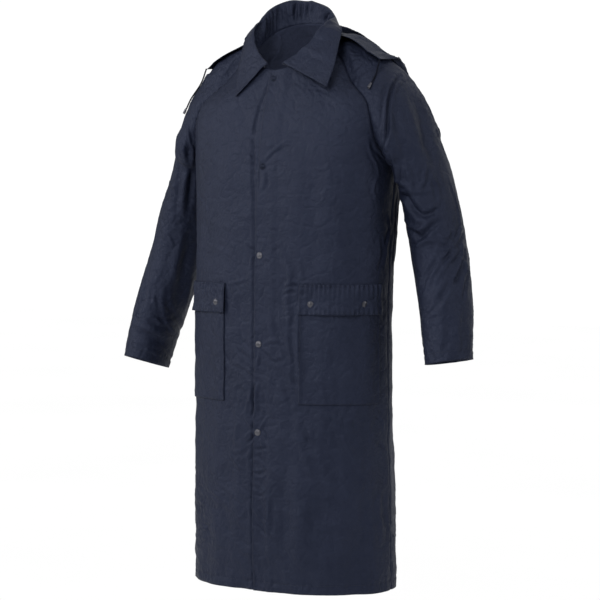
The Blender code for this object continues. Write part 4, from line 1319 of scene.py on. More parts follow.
for panel in (front_left, front_right, back):
    panel.relief = relief_at(panel.across, panel.along)
front_left.relief += EDGE_LIFT * bell(column_distance(front_left, 0), EDGE_LIFT_WIDTH)
beside_lap = front_right.across - LAP_EDGE + SHADE_PLACE
front_right.relief -= EDGE_SHADE * bell(beside_lap, SHADE_WIDTH)
for panel, column in ((front_left, -1), (front_right, -1), (back, 0), (back, -1)):
    distance = column_distance(panel, column)
    seam_finish(panel, panel.relief, distance, BELOW, 21, 0.0)
    seam_finish(panel, panel.relief, distance, ABOVE, 22, 1.0)
    panel.relief[ABOVE] *= ease((panel.along[-1:] - panel.along[ABOVE]) / NECK_FADE)

# %% [markdown]
# ## Relief of the sleeves
#
# A sleeve folds where the arm bends: deep troughs run across the inside of the elbow and fan out
# toward the outside. From the shoulder long folds hang down, and the cuff is a stitched hem.
#
# A row's points give the distance round from the top line and the distance down from the neck.

# %% Creases of the sleeves
SLEEVE_LEFT_CREASES = (
    (45, 39, -11, 188, -39, 198, -64, 208, -86, 228, -102, 249, -115, 276, -134, 304, -193, 315,
     -154, 347),
    (-36, 46, -34, 188, -68, 203, -95, 228, -115, 260, -133, 288),
    (-22, 33, -6, 193, -31, 203, -55, 212, -73, 228),
    (-48, 171, -40, 217, -54, 249, -58, 282, -66, 315, -71, 336, -68, 372, -66, 401),
    (39, 153, -16, 260, -24, 293, -34, 326, -32, 362, -37, 396),
    (32, 66, -77, 254, -96, 288, -103, 315, -103, 331, -102, 352),
    (-27, 39, -127, 320, -132, 342, -136, 367, -150, 387),
    (27, 39, -118, 331, -118, 352, -129, 372, -146, 391),
    (-24, 39, -102, 336, -105, 362, -106, 387, -104, 416),
    (22, 36, -90, 362, -93, 382, -94, 406, -99, 426),
    (-27, 39, -58, 372, -71, 396, -78, 416, -88, 431),
    (27, 39, -57, 396, -69, 421, -79, 441),
    (-24, 43, -51, 411, -45, 431, -44, 451),
    (24, 39, -55, 431, -53, 451, -56, 470),
    (74, 66, -158, 387, -158, 401, -118, 441, -106, 470, -87, 492, -67, 492, -47, 479),
    (-42, 56, -158, 367, -118, 401, -99, 431, -75, 441, -59, 441),
    (-45, 52, -156, 479, -131, 504, -107, 521, -89, 517, -75, 504),
    (61, 59, -143, 496, -115, 525, -103, 542, -88, 533, -70, 521, -54, 508),
    (-42, 56, -120, 563, -98, 554, -79, 554, -64, 559),
    (36, 39, -72, 550, -64, 563, -51, 571, -43, 563, -31, 546),
    (-32, 36, -65, 538, -56, 550, -48, 550, -36, 538),
    (32, 33, -31, 542, -31, 559, -18, 546, -5, 529),
    (-30, 33, -22, 559, -9, 542, 5, 529),
    (30, 33, -13, 567, -4, 554, 23, 533),
    (-42, 49, 4, 559, -13, 593, -34, 632, -53, 669, -67, 699),
    (45, 66, -13, 606, -34, 644, -54, 665, -71, 686, -88, 699),
    (-34, 43, -4, 567, -30, 589, -47, 606, -66, 628, -84, 649),
    (30, 39, -35, 580, -51, 597, -67, 610),
    (-30, 46, -59, 597, -78, 623, -95, 649, -111, 673),
    (27, 49, -70, 602, -92, 623, -110, 640),
    (-24, 46, 13, 576, -4, 623, -21, 657, -29, 686),
    (22, 46, 30, 589, 0, 636, -13, 669),
    (-22, 39, -120, 717, -98, 703, -81, 690),
    (20, 39, -99, 722, -89, 722, -75, 727),
    (-20, 39, -101, 736, -85, 727, -75, 731),
    (-24, 72, -32, 708, -35, 741, -34, 771, -37, 796),
    (24, 72, -58, 722, -56, 754, -61, 783),
    (-20, 33, -39, 130, -60, 120, -78, 115, -91, 110),
    (20, 33, -49, 135, -71, 130, -90, 125),
    # hidden side
    (61, 72, 196, 470, 150, 490, 100, 520, 60, 560),
    (-49, 59, 198, 440, 150, 452, 98, 462, 50, 470),
    (54, 66, 196, 510, 150, 545, 105, 590, 80, 640),
    (-46, 56, 197, 490, 152, 518, 104, 556, 70, 602),
    (42, 52, 190, 560, 150, 600, 120, 650),
    (-36, 46, 194, 536, 156, 574, 124, 622),
    (46, 126, 120, 120, 115, 200, 130, 290, 140, 380),
    (-41, 126, 80, 140, 75, 230, 85, 320, 90, 410),
    (36, 72, 40, 180, 45, 280, 40, 380),
    (-32, 66, 150, 220, 160, 300, 168, 370),
    (32, 39, 185, 350, 160, 380, 130, 400),
    (-27, 39, 188, 380, 162, 410, 130, 428),
    (-30, 72, 60, 640, 66, 700, 60, 760),
    (30, 72, 100, 680, 104, 740, 100, 790),
    (-20, 36, 30, 560, 50, 610, 60, 660),
    (20, 36, 20, 660, 40, 700, 50, 750),
    (22, 39, -20, 560, -10, 620, -20, 690),
    (-22, 39, 0, 420, 10, 480, 0, 540),
    (36, 52, -180, 470, -196, 500, -204, 520),
)
SLEEVE_RIGHT_CREASES = (
    (-36, 39, -114, 265, -137, 265, -150, 282, -170, 309, -147, 342),
    (43, 46, -132, 254, -147, 265, -160, 282),
    (-40, 59, -140, 293, -149, 326, -133, 377, -131, 445, -135, 491),
    (48, 59, -163, 304, -147, 342, -147, 398, -147, 466),
    (24, 66, -124, 326, -115, 362, -115, 419, -116, 476),
    (-21, 39, -71, 414, -99, 408, -112, 419),
    (21, 39, -91, 424, -104, 430, -110, 445),
    (-32, 89, -144, 518, -147, 562, -144, 608, -147, 650),
    (57, 135, -161, 535, -163, 585, -169, 636, -171, 676, -181, 708),
    (-32, 72, -197, 636, -202, 668, -210, 699),
    (40, 66, -141, 668, -147, 694, -171, 717, -214, 737, -245, 752),
    (-32, 52, -135, 699, -144, 722, -162, 742, -216, 762),
    (27, 33, -123, 732, -142, 737, -160, 732, -179, 722),
    (-24, 33, -126, 737, -141, 747, -162, 742),
    (24, 33, -111, 747, -121, 752, -133, 747),
    (29, 89, -81, 777, -110, 782, -136, 782, -172, 786),
    (-29, 89, -72, 762, -105, 767, -130, 767, -161, 772),
    (-29, 46, -75, 645, -77, 681, -79, 717, -73, 747, -64, 782),
    (21, 46, -90, 650, -92, 685, -93, 717),
    (-19, 39, -114, 676, -116, 699, -125, 717),
    (19, 39, -89, 540, -107, 567, -125, 580),
    (-19, 46, -97, 531, -115, 544, -130, 567),
    (19, 39, -154, 796, -177, 805, -240, 823),
    (-19, 39, -110, 814, -132, 814, -159, 819),
    # hidden side
    (53, 72, 190, 480, 145, 500, 97, 530, 58, 570),
    (-40, 59, 192, 474, 145, 486, 95, 496, 49, 504),
    (45, 66, 190, 520, 145, 555, 102, 600, 78, 650),
    (-39, 56, 191, 524, 147, 552, 101, 590, 68, 636),
    (36, 52, 184, 570, 145, 610, 116, 660),
    (-32, 46, 188, 570, 151, 608, 120, 656),
    (39, 126, 116, 130, 112, 210, 126, 300, 136, 390),
    (-36, 126, 78, 174, 73, 264, 82, 354, 87, 444),
    (32, 72, 39, 190, 44, 290, 39, 390),
    (-27, 66, 145, 254, 155, 334, 163, 404),
    (27, 39, 179, 360, 155, 390, 126, 410),
    (-23, 39, 182, 414, 157, 444, 126, 462),
    (-24, 72, 58, 650, 64, 710, 58, 770),
    (24, 72, 97, 714, 101, 774, 97, 824),
    (18, 39, -19, 570, -10, 630, -19, 700),
    (-18, 39, 0, 454, 10, 514, 0, 574),
    (32, 52, -175, 480, -190, 510, -198, 530),
)


CUFF_HEM = 0.020


def shoulder_lift(around, down, from_seam, swells):
    """The fullness of the shoulder, where the cloth stands up over the layers under it."""
    lift = np.zeros(around.shape)
    for middle, reach, begins, ends, height in swells:
        along_top = ease((down - begins) / 0.045) * ease((ends - down) / 0.060)
        lift += height * along_top * np.exp(-(((around - middle) / reach) ** 4))
    return lift * ease(from_seam / SEAM_CLEAR)


def sleeve_relief(panel, creases, seed):
    around, down = panel.across, panel.along
    girth = np.ptp(around, axis=1)[:, None]
    under = girth / 2 - np.abs(around)
    clear = 1.0 - bell(under, 0.015)
    busy = np.clip(0.6 + 0.5 * waves(around, down, seed + 9, 0.18), 0.15, 1.3)
    relief = clear * crumples(around, down, SLEEVE_CRUMPLES, (1.0, busy, busy), seed)
    full_turn = girth.copy()
    full_turn[:panel.closed_from] = girth[panel.closed_from]
    for shift in (-1.0, 0.0, 1.0):
        relief += crease_relief(around + shift * full_turn, down, creases)
    return stitched(relief, down[-1:] - down - CUFF_HEM, around, CUFF_LINE, seed + 6)


# Where the free cord ends run: points from the hood's corner down to the tip.
CORD_ROUTES = {
    "left": ((0.2110, -0.0382, -0.0464), (0.20738, -0.04549, -0.07397),
             (0.20675, -0.05769, -0.08836), (0.20472, -0.0653, -0.09899)),
    "right": ((-0.2110, -0.0382, -0.05194), (-0.2209, -0.04491, -0.08419),
              (-0.24028, -0.05343, -0.11583), (-0.25026, -0.05925, -0.1400)),
}
CORD_POINTS = 19
CORD_BED = 0.0031
BED_REACH = 0.020


def cord_line(word):
    """Points along the smooth curve of a cord."""
    route = CORD_ROUTES[word]
    table = np.column_stack((np.linspace(0.0, 1.0, len(route)), np.array(route)))
    return read(table, np.linspace(0.0, 1.0, CORD_POINTS))


def cord_bed(panel, line, from_seam):
    """How far the sleeve stands up to lie close under a cord, apart from the cord's two ends."""
    points = panel.raised()
    tree = surface_tree([panel])
    feet = [tree.find_nearest(Vector(point)) for point in line]
    steps = np.linspace(0.0, np.linalg.norm(np.diff(line, axis=0), axis=1).sum(), len(line))
    rise = [max(foot[3] - CORD_BED, 0.0) * ease((step - 0.004) / 0.012)
            * ease((steps[-1] - step) / 0.020) for foot, step in zip(feet, steps)]
    away = np.array([np.linalg.norm(points - np.array(foot[0]), axis=2) for foot in feet])
    nearest = away.argmin(axis=0)
    print(panel.name, "bed under the cord in millimetres:", round(max(rise) * 1000, 1))
    return (np.array(rise)[nearest] * bell(away.min(axis=0), BED_REACH)
            * ease(from_seam / SEAM_CLEAR))


# Each swell: its middle and reach round the arm, where it begins and ends, and its height.
SWELLS = {"sleeve_left": ((-0.02, 0.060, 0.006, 0.160, 0.006),),
          "sleeve_right": ((-0.03, 0.055, 0.006, 0.168, 0.0105),)}
for panel, creases, seed in ((sleeve_left, SLEEVE_LEFT_CREASES, 31),
                             (sleeve_right, SLEEVE_RIGHT_CREASES, 41)):
    panel.relief = sleeve_relief(panel, creases, seed)
    from_seam = np.minimum(column_distance(panel, 0), column_distance(panel, -1))
    panel.relief += shoulder_lift(panel.across, panel.along, from_seam, SWELLS[panel.name])
    if panel is sleeve_right:
        panel.relief += cord_bed(panel, cord_line("right"), from_seam)
    for column in (0, -1):
        distance = column_distance(panel, column)
        seam_finish(panel, panel.relief, distance, slice(0, UPPER_ROWS + 1), 22, 1.0)
    panel.relief *= ease(panel.along / NECK_FADE)
    closed = panel.closed_from
    panel.relief[closed:, 0] = panel.relief[closed:, -1]

for torso_part, column, sleeve, sleeve_column in RAGLAN_SEAMS:
    sleeve.relief[RAGLAN, sleeve_column] = torso_part.relief[ABOVE, column]
for front, column, other, other_column in SIDE_SEAMS:
    other.relief[BELOW, other_column] = front.relief[BELOW, column]
# The shell's inside takes the paler uncoated side, partly painted light on its shade.
for panel in SHELL:
    cloth_piece(panel, NAVY, UNCOATED_SIDE_AND_PAINTED_LIGHT)
SHELL_TREE = surface_tree(SHELL)

# %% [markdown]
# ## Collar and hood
#
# Both are laid over the finished shell, so they rest on its folds and not on its plain form.

# %% Collar and hood
def plain_places(grid):
    """Distances along and across a loose grid, for its cloth pattern."""
    middle_row, middle_column = (size // 2 for size in grid.shape[:2])
    across = path_lengths(grid[middle_row])[None]
    along = path_lengths(grid[:, middle_column])[:, None]
    return across + 0.0 * along, along + 0.0 * across


collar_grid = both_sides(collar_column, COLLAR[0][0], 180.0, COLLAR_COLUMNS)
collar = Panel("collar", collar_grid, *plain_places(collar_grid))
hood_grid = both_sides(hood_column, 0.0, 90.0, HOOD_COLUMNS)
hood = Panel("hood", hood_grid, *plain_places(hood_grid))
print("collar and hood points:", collar.grid.size // 3, hood.grid.size // 3)


SOFTEN_ROUNDS = int(60 * DETAIL**2)
LEAST_CLEAR = 0.0022


def soften(field, rounds):
    """Average a grid of moves with its neighbours again and again, so that it has no steps."""
    for _ in range(rounds):
        wide = np.pad(field, ((1, 1), (1, 1), (0, 0)), mode="edge")
        field = (wide[:-2, 1:-1] + wide[2:, 1:-1] + wide[1:-1, :-2] + wide[1:-1, 2:]
                 + 2 * field) / 6
    return field


def finish_loose(panel, first_row, clear, seam_clear=None):
    """Bake the relief, and lay the rows from one row on over the shell."""
    points = panel.raised()
    panel.relief[:] = 0.0
    moved = np.array([lay_over(line, SHELL_TREE, clear) if number >= first_row else line
                      for number, line in enumerate(points)])
    points = points + soften(moved - points, SOFTEN_ROUNDS)
    for row in range(first_row, len(points)):
        points[row] = lay_over(points[row], SHELL_TREE, LEAST_CLEAR)
    if seam_clear is not None:
        points[0] = lay_over(points[0], SHELL_TREE, seam_clear, seated=True)
    panel.grid = points
    panel.normals = grid_normals(points, None, panel.flip)


COLLAR_FALL_START = COLLAR_STAND_ROWS + TURN_STEPS - 1
PUCKER_CENTRE = 0.4


def edge_puckers(panel, amount, reach, pitch, seed, edges=("left", "right", "top", "bottom")):
    """Short puckers along the stitched edges of a piece."""
    across, along = panel.across, panel.along
    relief = np.zeros(across.shape)
    for number, (edge, away, beside) in enumerate((
            ("left", across - across[:, :1], along), ("right", across[:, -1:] - across, along),
            ("bottom", along - along[:1], across), ("top", along[-1:] - along, across))):
        if edge in edges:
            relief += amount * line_pucker(
                np.abs(away) - PUCKER_CENTRE * reach, beside, reach, pitch, seed + number)
    return relief


COLLAR_CREASES = (
    # depth, width, then points (along the collar, up the stand and down the fall)
    (20, 70, 395, 60, 420, 85, 450, 100),
    (-16, 60, 30, 40, 55, 70, 75, 105),
    (16, 60, 45, 35, 75, 60, 105, 100),
    (-14, 60, 90, 45, 115, 70, 130, 105),
    (14, 55, 120, 45, 140, 75, 150, 100),
    (-14, 60, 420, 45, 440, 75, 462, 105),
)
RUCHE = 0.0070
RUCHE_PITCH = 0.027
SMALL_RUCHE = 0.0018
SMALL_PITCH = 0.011


def collar_relief(panel):
    across, along = panel.across, panel.along
    rows = panel.grid.shape[0]
    row = np.arange(rows)[:, None] + 0.0 * across
    stand = ease((COLLAR_FALL_START - row) / 4.0)
    below_crest = ease((COLLAR_STAND_ROWS - 1.0 - row) / 4.0 + 0.35)
    open_up = ease(row / (0.6 * COLLAR_STAND_ROWS)) * below_crest
    uneven = waves(across, 0.0 * along, 61, 0.09, count=5)
    slant = 0.35 * along * waves(across, 0.0 * along, 66, 0.12, count=4)
    ruche = np.sin(2 * pi * (across + slant) / RUCHE_PITCH + 4.0 * uneven)
    small = np.sin(2 * pi * (across - slant) / SMALL_PITCH + 3.0 * uneven)
    relief = stand * open_up * (RUCHE * ruche * (0.7 + 0.3 * uneven) + SMALL_RUCHE * small)
    relief += 0.0006 * open_up * crumple(across, along, 63, 0.030)
    relief += crease_relief(across, along, COLLAR_CREASES)
    relief += (1.0 - stand) * edge_puckers(
        panel, 0.0010, 0.008, 0.011, 64, ("left", "right", "top"))
    return relief


HOOD_CREASES = (
    # depth, width, then points (round the hood, down its inner layer and up its outer one)
    (50, 120, 180, 20, 172, 120, 180, 210),
    (-40, 110, 220, 20, 225, 110, 215, 200),
    (50, 120, 290, 20, 300, 110, 296, 210),
    (-40, 110, 345, 30, 340, 120, 350, 200),
    (36, 90, 420, 40, 430, 120, 420, 190),
    (40, 100, 150, 300, 180, 350, 220, 370),
    (-36, 100, 180, 280, 230, 320, 290, 330),
    (40, 100, 300, 290, 340, 340, 400, 360),
    (-30, 90, 330, 260, 390, 300, 440, 310),
    (26, 70, 90, 240, 110, 300, 110, 350),
    (-24, 70, 60, 250, 75, 300, 70, 350),
)


collar.relief = collar_relief(collar)
finish_loose(collar, COLLAR_FALL_START, COLLAR_REST)
hood.relief = crumples(hood.across, hood.along, HOOD_CRUMPLES, (1.0, 1.0))
hood.relief += crease_relief(hood.across, hood.along, HOOD_CREASES)
channel = np.abs(hood.along[-1:] - hood.along - HOOD_CHANNEL)
hood.relief = stitched(hood.relief, channel, hood.across, CHANNEL_LINE, 74)
hood.relief *= ease(hood.along / 0.02)
from_ends = np.minimum(hood.across - hood.across[:, :1], hood.across[:, -1:] - hood.across)
hood.relief *= ease((from_ends - 0.004) / 0.050)
round_hood = np.linspace(0.0, 1.0, hood.grid.shape[1])
close = ease((round_hood - HOOD_CLOSE_FROM) / HOOD_CLOSE_SPAN)
hood_clear = HOOD_REST - (HOOD_REST - HOOD_CLOSE) * close
finish_loose(hood, 1, hood_clear, HOOD_SEAM)
for panel in (collar, hood):
    cloth_piece(panel, NAVY, NAVY)

# %% [markdown]
# ## Pockets and flaps

# %% Pockets and flaps
FLAP_BULGE = 0.0042
SEAM_GATHERS = 0.0022
EDGE_GATHERS = 0.0014
GATHER_PITCH = 0.0105
POCKET_TURN = 0.0075
TURN_GROOVE = 0.0009
PATCHES = []
for side, word in ((1, "left"), (-1, "right")):
    pocket = Panel(f"pocket_{word}", *patch_grid(
        side, POCKET_DEGREES, POCKET_HEIGHTS, POCKET_ROWS, pocket_out), flip=side < 0)
    flap = Panel(f"flap_{word}", *patch_grid(
        side, FLAP_DEGREES, FLAP_HEIGHTS, FLAP_ROWS, flap_out), flip=side < 0)
    for patch in (pocket, flap):
        patch.relief = relief_at(patch.across, patch.along)
    pocket.relief += 0.7 * np.abs(edge_puckers(pocket, 0.0010, 0.007, 0.012, 81 + side))
    for column in (0, -1):
        inset = column_distance(pocket, column) - POCKET_TURN
        pocket.relief -= TURN_GROOVE * bell(inset, SEAM_WIDTH)
    hang = (FLAP_HEIGHTS[0] - flap.along) / (FLAP_HEIGHTS[0] - FLAP_HEIGHTS[1])
    uneven = waves(flap.across, 0.0 * flap.along, 84 + side, 0.055, count=5)
    gathers = np.sin(2 * pi * flap.across / GATHER_PITCH + 3.0 * uneven)
    from_snaps = np.min([np.abs(np.abs(flap.across) - around_of(degree))
                         for degree in FLAP_SNAP_DEGS], axis=0)
    free = 1.0 - bell(from_snaps, SNAP_REACH)
    flap.relief += FLAP_BULGE * ease(hang) * free * (0.6 + 0.4 * uneven)
    flap.relief += SEAM_GATHERS * bell(hang, 0.36) * (0.6 + gathers)
    flap.relief += EDGE_GATHERS * bell(1.0 - hang, 0.22) * (0.7 + gathers)
    flap.relief += 0.0008 * crumple(flap.across, flap.along, 86, 0.024)
    flap.relief += np.abs(edge_puckers(flap, 0.0007, 0.006, 0.011, 88, ("left", "right", "top")))
    for patch in (pocket, flap):
        cloth_piece(patch, NAVY, NAVY)
        PATCHES.append(patch)

# %% [markdown]
# ## Snap fasteners
#
# The cap of a metal snap is pressed from sheet: a low dome with a rolled rim and a faint ring
# where the press held it. A cylinder of the right size is a good start: its top is inset and
# raised for the dome, a narrow ring of it is pushed down, and a Bevel rounds the rim. Each cap is
# turned to the normal of the cloth under it, and those down the front stand a little more
# upright than that. The two caps at the top are the same metal painted darker: painted shade.

# %% Snaps
SNAP_RADIUS = 0.0066
SNAP_HEIGHT = 0.0024
SNAP_SIDES = 40
SNAP_SEAT = 0.0002
SNAP_BLANK = 0.55
SNAP_LEVEL = 0.4
# How many caps at the top get the metal painted darker, as painted shade.
SHADED_SNAPS = 2


# Each step of the cap: how far its top face is inset, and how far the new face then moves up.
CAP_STEPS = ((0.0007, 0.00030), (0.0009, 0.0), (0.0004, -0.00030), (0.0004, 0.00035),
             (0.0014, 0.00045), (0.0014, 0.00020))


def start_cylinder(name, sides, radius, depth):
    """A cylinder that stands on the origin, open for editing with its top face picked."""
    bpy.ops.object.select_all(action="DESELECT")
    bpy.ops.mesh.primitive_cylinder_add(
        vertices=sides, radius=radius, depth=depth, location=(0.0, 0.0, depth / 2))
    made = bpy.context.object
    made.name = name
    bpy.ops.object.mode_set(mode="EDIT")
    bpy.ops.mesh.select_mode(type="FACE")
    bpy.ops.mesh.select_all(action="DESELECT")
    shape = bmesh.from_edit_mesh(made.data)
    top = max(shape.faces, key=lambda face: face.calc_center_median().z)
    top.select_set(True)
    shape.faces.active = top
    bmesh.update_edit_mesh(made.data)
    return made


def round_edges(made, bevel_name, width):
    """End the editing and round the sharp edges."""
    bpy.ops.object.mode_set(mode="OBJECT")
    bevel = made.modifiers.new(bevel_name, "BEVEL")
    bevel.width = width
    bevel.segments = 2
    bevel.limit_method = "ANGLE"
    bevel.angle_limit = radians(30)
    bpy.ops.object.modifier_apply(modifier=bevel.name)
    bpy.ops.object.shade_smooth_by_angle(angle=radians(40))


def stand_at(made, point, up):
    """Move a piece from the origin to a point and turn it, with its place in the mesh."""
    turn = Vector((0.0, 0.0, 1.0)).rotation_difference(up).to_matrix().to_4x4()
    made.data.transform(Matrix.Translation(point) @ turn)


def make_cap(name):
    """A cap that sits on the origin, modelled step by step."""
    cap = start_cylinder(name, SNAP_SIDES, SNAP_RADIUS, SNAP_HEIGHT * SNAP_BLANK)
    for inset, rise in CAP_STEPS:
        bpy.ops.mesh.inset(thickness=inset, depth=0.0)
        bpy.ops.transform.translate(value=(0.0, 0.0, rise), orient_type="GLOBAL")
    round_edges(cap, "rolled rim", 0.00025)
    return cap


def seat_cap(name, point, normal, metal=METAL):
    """Make a cap and leave it on the cloth."""
    cap = make_cap(f"{name}_cap")
    stand_at(cap, point + normal * SNAP_SEAT, normal)
    cap.data.materials.append(metal)
    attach(cap, BODY)
    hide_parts(name)


FRONT_TREE = surface_tree([front_left])
for number, snap_z in enumerate(SNAP_HEIGHTS):
    aim = front_points(snap_z, middle_degree(np.array(snap_z), SNAP_X), 1)
    point, normal, _, _ = FRONT_TREE.find_nearest(Vector(aim))
    level = Vector((normal.x, normal.y, SNAP_LEVEL * normal.z)).normalized()
    seat_cap(f"snap_{number + 1}", point, level, SHADED_SNAP_METAL if number < SHADED_SNAPS else METAL)
for side, word in ((1, "left"), (-1, "right")):
    flap = next(patch for patch in PATCHES if patch.name == f"flap_{word}")
    flap_tree = surface_tree([flap])
    for number, degree in enumerate(FLAP_SNAP_DEGS):
        aim = front_points(FLAP_SNAP_Z, degree, side, flap_out(FLAP_SNAP_Z))
        point, normal, _, _ = flap_tree.find_nearest(Vector(aim))
        seat_cap(f"flap_{word}_snap_{number + 1}", point, normal)

# %% [markdown]
# ## Drawstring ends
#
# The hood's drawstring runs in the channel of its rim. Only its two ends are outside: each comes
# out at the corner of the hood, hangs down over the shoulder, and ends in a small metal tip. The
# line of a cord is a smooth curve through a few points, with a bevel for its thickness.

# %% Drawstring ends
CORD_RADIUS = 0.0016
TIP_RADIUS = 0.0030
TIP_LENGTH = 0.0130
TIP_SIDES = 24
TIP_GAP = 0.0003

# Each step of the tip: how far it is drawn out, in tip lengths, and how much wider it gets.
TIP_STEPS = ((0.06, 1.28), (0.48, 1.04), (0.04, 0.86), (0.04, 1.16), (0.13, 1.0))


def make_tip(name, start, along):
    """A crimped tube tip: a cylinder, drawn in at the cord and rolled at its mouth."""
    tip = start_cylinder(name, TIP_SIDES, TIP_RADIUS * 0.72, TIP_LENGTH * 0.25)
    for rise, scale in TIP_STEPS:
        bpy.ops.mesh.extrude_region_move(
            TRANSFORM_OT_translate={"value": (0.0, 0.0, TIP_LENGTH * rise)})
        bpy.ops.transform.resize(value=(scale, scale, 1.0))
    bpy.ops.mesh.inset(thickness=TIP_RADIUS * 0.25, depth=0.0)
    bpy.ops.mesh.inset(thickness=TIP_RADIUS * 0.10, depth=-TIP_LENGTH * 0.06)
    round_edges(tip, "worn edges", 0.00018)
    stand_at(tip, start + along * TIP_GAP, along)
    tip.data.materials.append(METAL)
    return tip


for word, route in CORD_ROUTES.items():
    line = cord_line(word)
    curve = bpy.data.curves.new(f"hood_cord_{word}_line", "CURVE")
    curve.dimensions = "3D"
    curve.bevel_depth = CORD_RADIUS
    curve.bevel_resolution = 4
    curve.use_fill_caps = True
    spline = curve.splines.new("POLY")
    spline.points.add(CORD_POINTS - 1)
    for number, place in enumerate(line):
        spline.points[number].co = (*place, 1.0)
    curve.materials.append(CORD)
    cord = bpy.data.objects.new(f"hood_cord_{word}_line", curve)
    SCENE.collection.objects.link(cord)
    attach(cord, BODY)
    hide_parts(f"hood_cord_{word}")
    along = Vector(line[-1] - line[-2]).normalized()
    tip = make_tip(f"cord_end_{word}_tip", Vector(line[-1]), along)
    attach(tip, BODY)
    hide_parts(f"cord_end_{word}")

# %% [markdown]
# ## Stitching
#
# Lockstitch shows as a row of short thread bars with a small gap between them, each one sunk a
# little at its ends. One bar is a four-sided spindle of twelve faces, so thousands of them stay
# light. A row follows an edge of a piece at a fixed distance, just as the presser foot does.

# %% Functions for stitch rows
STITCH_PITCH = 0.0042
STITCH_LENGTH = 0.0031
THREAD = 0.00032
THREAD_OUT = 0.00012
SPINDLE = np.array([[-0.5, 0.0, -0.5]] + [
    [along, 0.9 * cos(angle), 0.9 * sin(angle)]
    for along in (-0.28, 0.28) for angle in (0.0, pi / 2, pi, 3 * pi / 2)] + [[0.5, 0.0, -0.5]])
SPINDLE_FACES = (
    [(0, 1 + (k + 1) % 4, 1 + k) for k in range(4)]
    + [(1 + k, 1 + (k + 1) % 4, 5 + (k + 1) % 4, 5 + k) for k in range(4)]
    + [(5 + k, 5 + (k + 1) % 4, 9) for k in range(4)])

# Spun navy thread, as dark as the cloth.
THREAD_LOOK = grain_material("navy thread", 900.0, (0.007, 0.009, 0.020), (0.016, 0.020, 0.038),
                             (0.50, 0.72), (0.4, 0.0002))


def edge_line(panel, edge, inset, start=0):
    """Points and normals along a line inside a panel, this far from one of its edges."""
    points, normals = panel.raised(), panel.normals
    if edge in ("bottom", "top"):
        points, normals = points.transpose(1, 0, 2), normals.transpose(1, 0, 2)
    if edge in ("right", "top"):
        points, normals = points[:, ::-1], normals[:, ::-1]
    points, normals = points[start:], normals[start:]
    lengths = row_lengths(points)
    column = np.clip([int(np.searchsorted(row, inset)) for row in lengths], 1,
                     points.shape[1] - 1)
    row = np.arange(len(points))
    before, after = lengths[row, column - 1], lengths[row, column]
    share = ((inset - before) / np.maximum(after - before, 1e-9))[:, None]
    line = points[row, column - 1] * (1 - share) + points[row, column] * share
    facing = unit(normals[row, column - 1] * (1 - share) + normals[row, column] * share)
    return line, facing


def point_at(lengths, line, length):
    """The point or direction of a line at one of its lengths."""
    return np.array([np.interp(length, lengths, line[:, axis]) for axis in range(3)])


def stitch_row(name, lines):
    """One object with a stitch every few millimetres along each of the lines."""
    points, faces = [], []
    for line, facing in lines:
        lengths = path_lengths(line)
        for middle in (np.arange(int(lengths[-1] / STITCH_PITCH)) + 0.5) * STITCH_PITCH:
            start, end = (point_at(lengths, line, middle + step)
                          for step in (-STITCH_LENGTH / 2, STITCH_LENGTH / 2))
            along = unit(end - start)
            across = unit(np.cross(unit(point_at(lengths, facing, middle)), along))
            up = np.cross(along, across)
            centre = (start + end) / 2 + up * THREAD_OUT
            bar = (centre + SPINDLE[:, :1] * along * STITCH_LENGTH
                   + SPINDLE[:, 1:2] * across * THREAD + SPINDLE[:, 2:] * up * THREAD)
            first = len(points)
            points.extend(bar.tolist())
            faces.extend([tuple(first + corner for corner in face) for face in SPINDLE_FACES])
    mesh = bpy.data.meshes.new(name)
    mesh.from_pydata(points, [], faces)
    mesh.shade_smooth()
    mesh.materials.append(THREAD_LOOK)
    piece = bpy.data.objects.new(name, mesh)
    SCENE.collection.objects.link(piece)
    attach(piece, BODY)
    print(name, "stitches:", len(points) // len(SPINDLE))


# %% Stitch rows of the coat
EDGE_INSET = 0.0030
SEAM_INSET = 0.0022
FLAP_INSET = 0.0045
COLLAR_INSET = 0.0050
SEAM_START = LOWER_ROWS + 2
ENDS_AND_TOP = ("left", "right", "top")

patch_of = {patch.name: patch for patch in PATCHES}
stitch_row("stitches_front_edge", [edge_line(front_left, "left", EDGE_INSET)])
stitch_row("stitches_hem", [edge_line(panel, "bottom", HEM_BAND) for panel in
                            (front_left, back, front_right)])
for word, front, sleeve in (("left", front_left, sleeve_left),
                            ("right", front_right, sleeve_right)):
    stitch_row(f"stitches_raglan_{word}", [
        edge_line(front, "right", SEAM_INSET, SEAM_START),
        edge_line(front, "right", POCKET_TURN, SEAM_START + 2),
        edge_line(back, word, SEAM_INSET, SEAM_START)])
    stitch_row(f"stitches_cuff_{word}", [edge_line(sleeve, "top", CUFF_HEM)])
    pocket, flap = patch_of[f"pocket_{word}"], patch_of[f"flap_{word}"]
    stitch_row(f"stitches_pocket_{word}", [
        edge_line(pocket, edge, SEAM_INSET) for edge in ENDS_AND_TOP])
    stitch_row(f"stitches_flap_{word}", [
        edge_line(flap, "bottom", EDGE_INSET)]
        + [edge_line(flap, edge, FLAP_INSET) for edge in ENDS_AND_TOP])
stitch_row("stitches_collar", [edge_line(collar, "top", COLLAR_INSET)] + [
    edge_line(collar, edge, COLLAR_INSET, COLLAR_FALL_START + 1) for edge in ("left", "right")])
stitch_row("stitches_hood_rim", [edge_line(hood, "top", HOOD_CHANNEL)])

# %% [markdown]


# %% [markdown]
# ## Floor and light
#
# A plain pale floor and big soft lights, as in a small studio: a key light from the front and
# above, a narrow light on each side, one above and one behind, a small lamp inside the neck, and
# a dim world that fills the shadows. White paper behind a dark coat would wash its edges grey,
# so floor and world look white to the camera only.

# %% Floor and lights
FLOOR_Z = -1.50
PAPER_GLOW = 1.06
WORLD_FILL = 0.22
WORLD_SEEN = 1.05

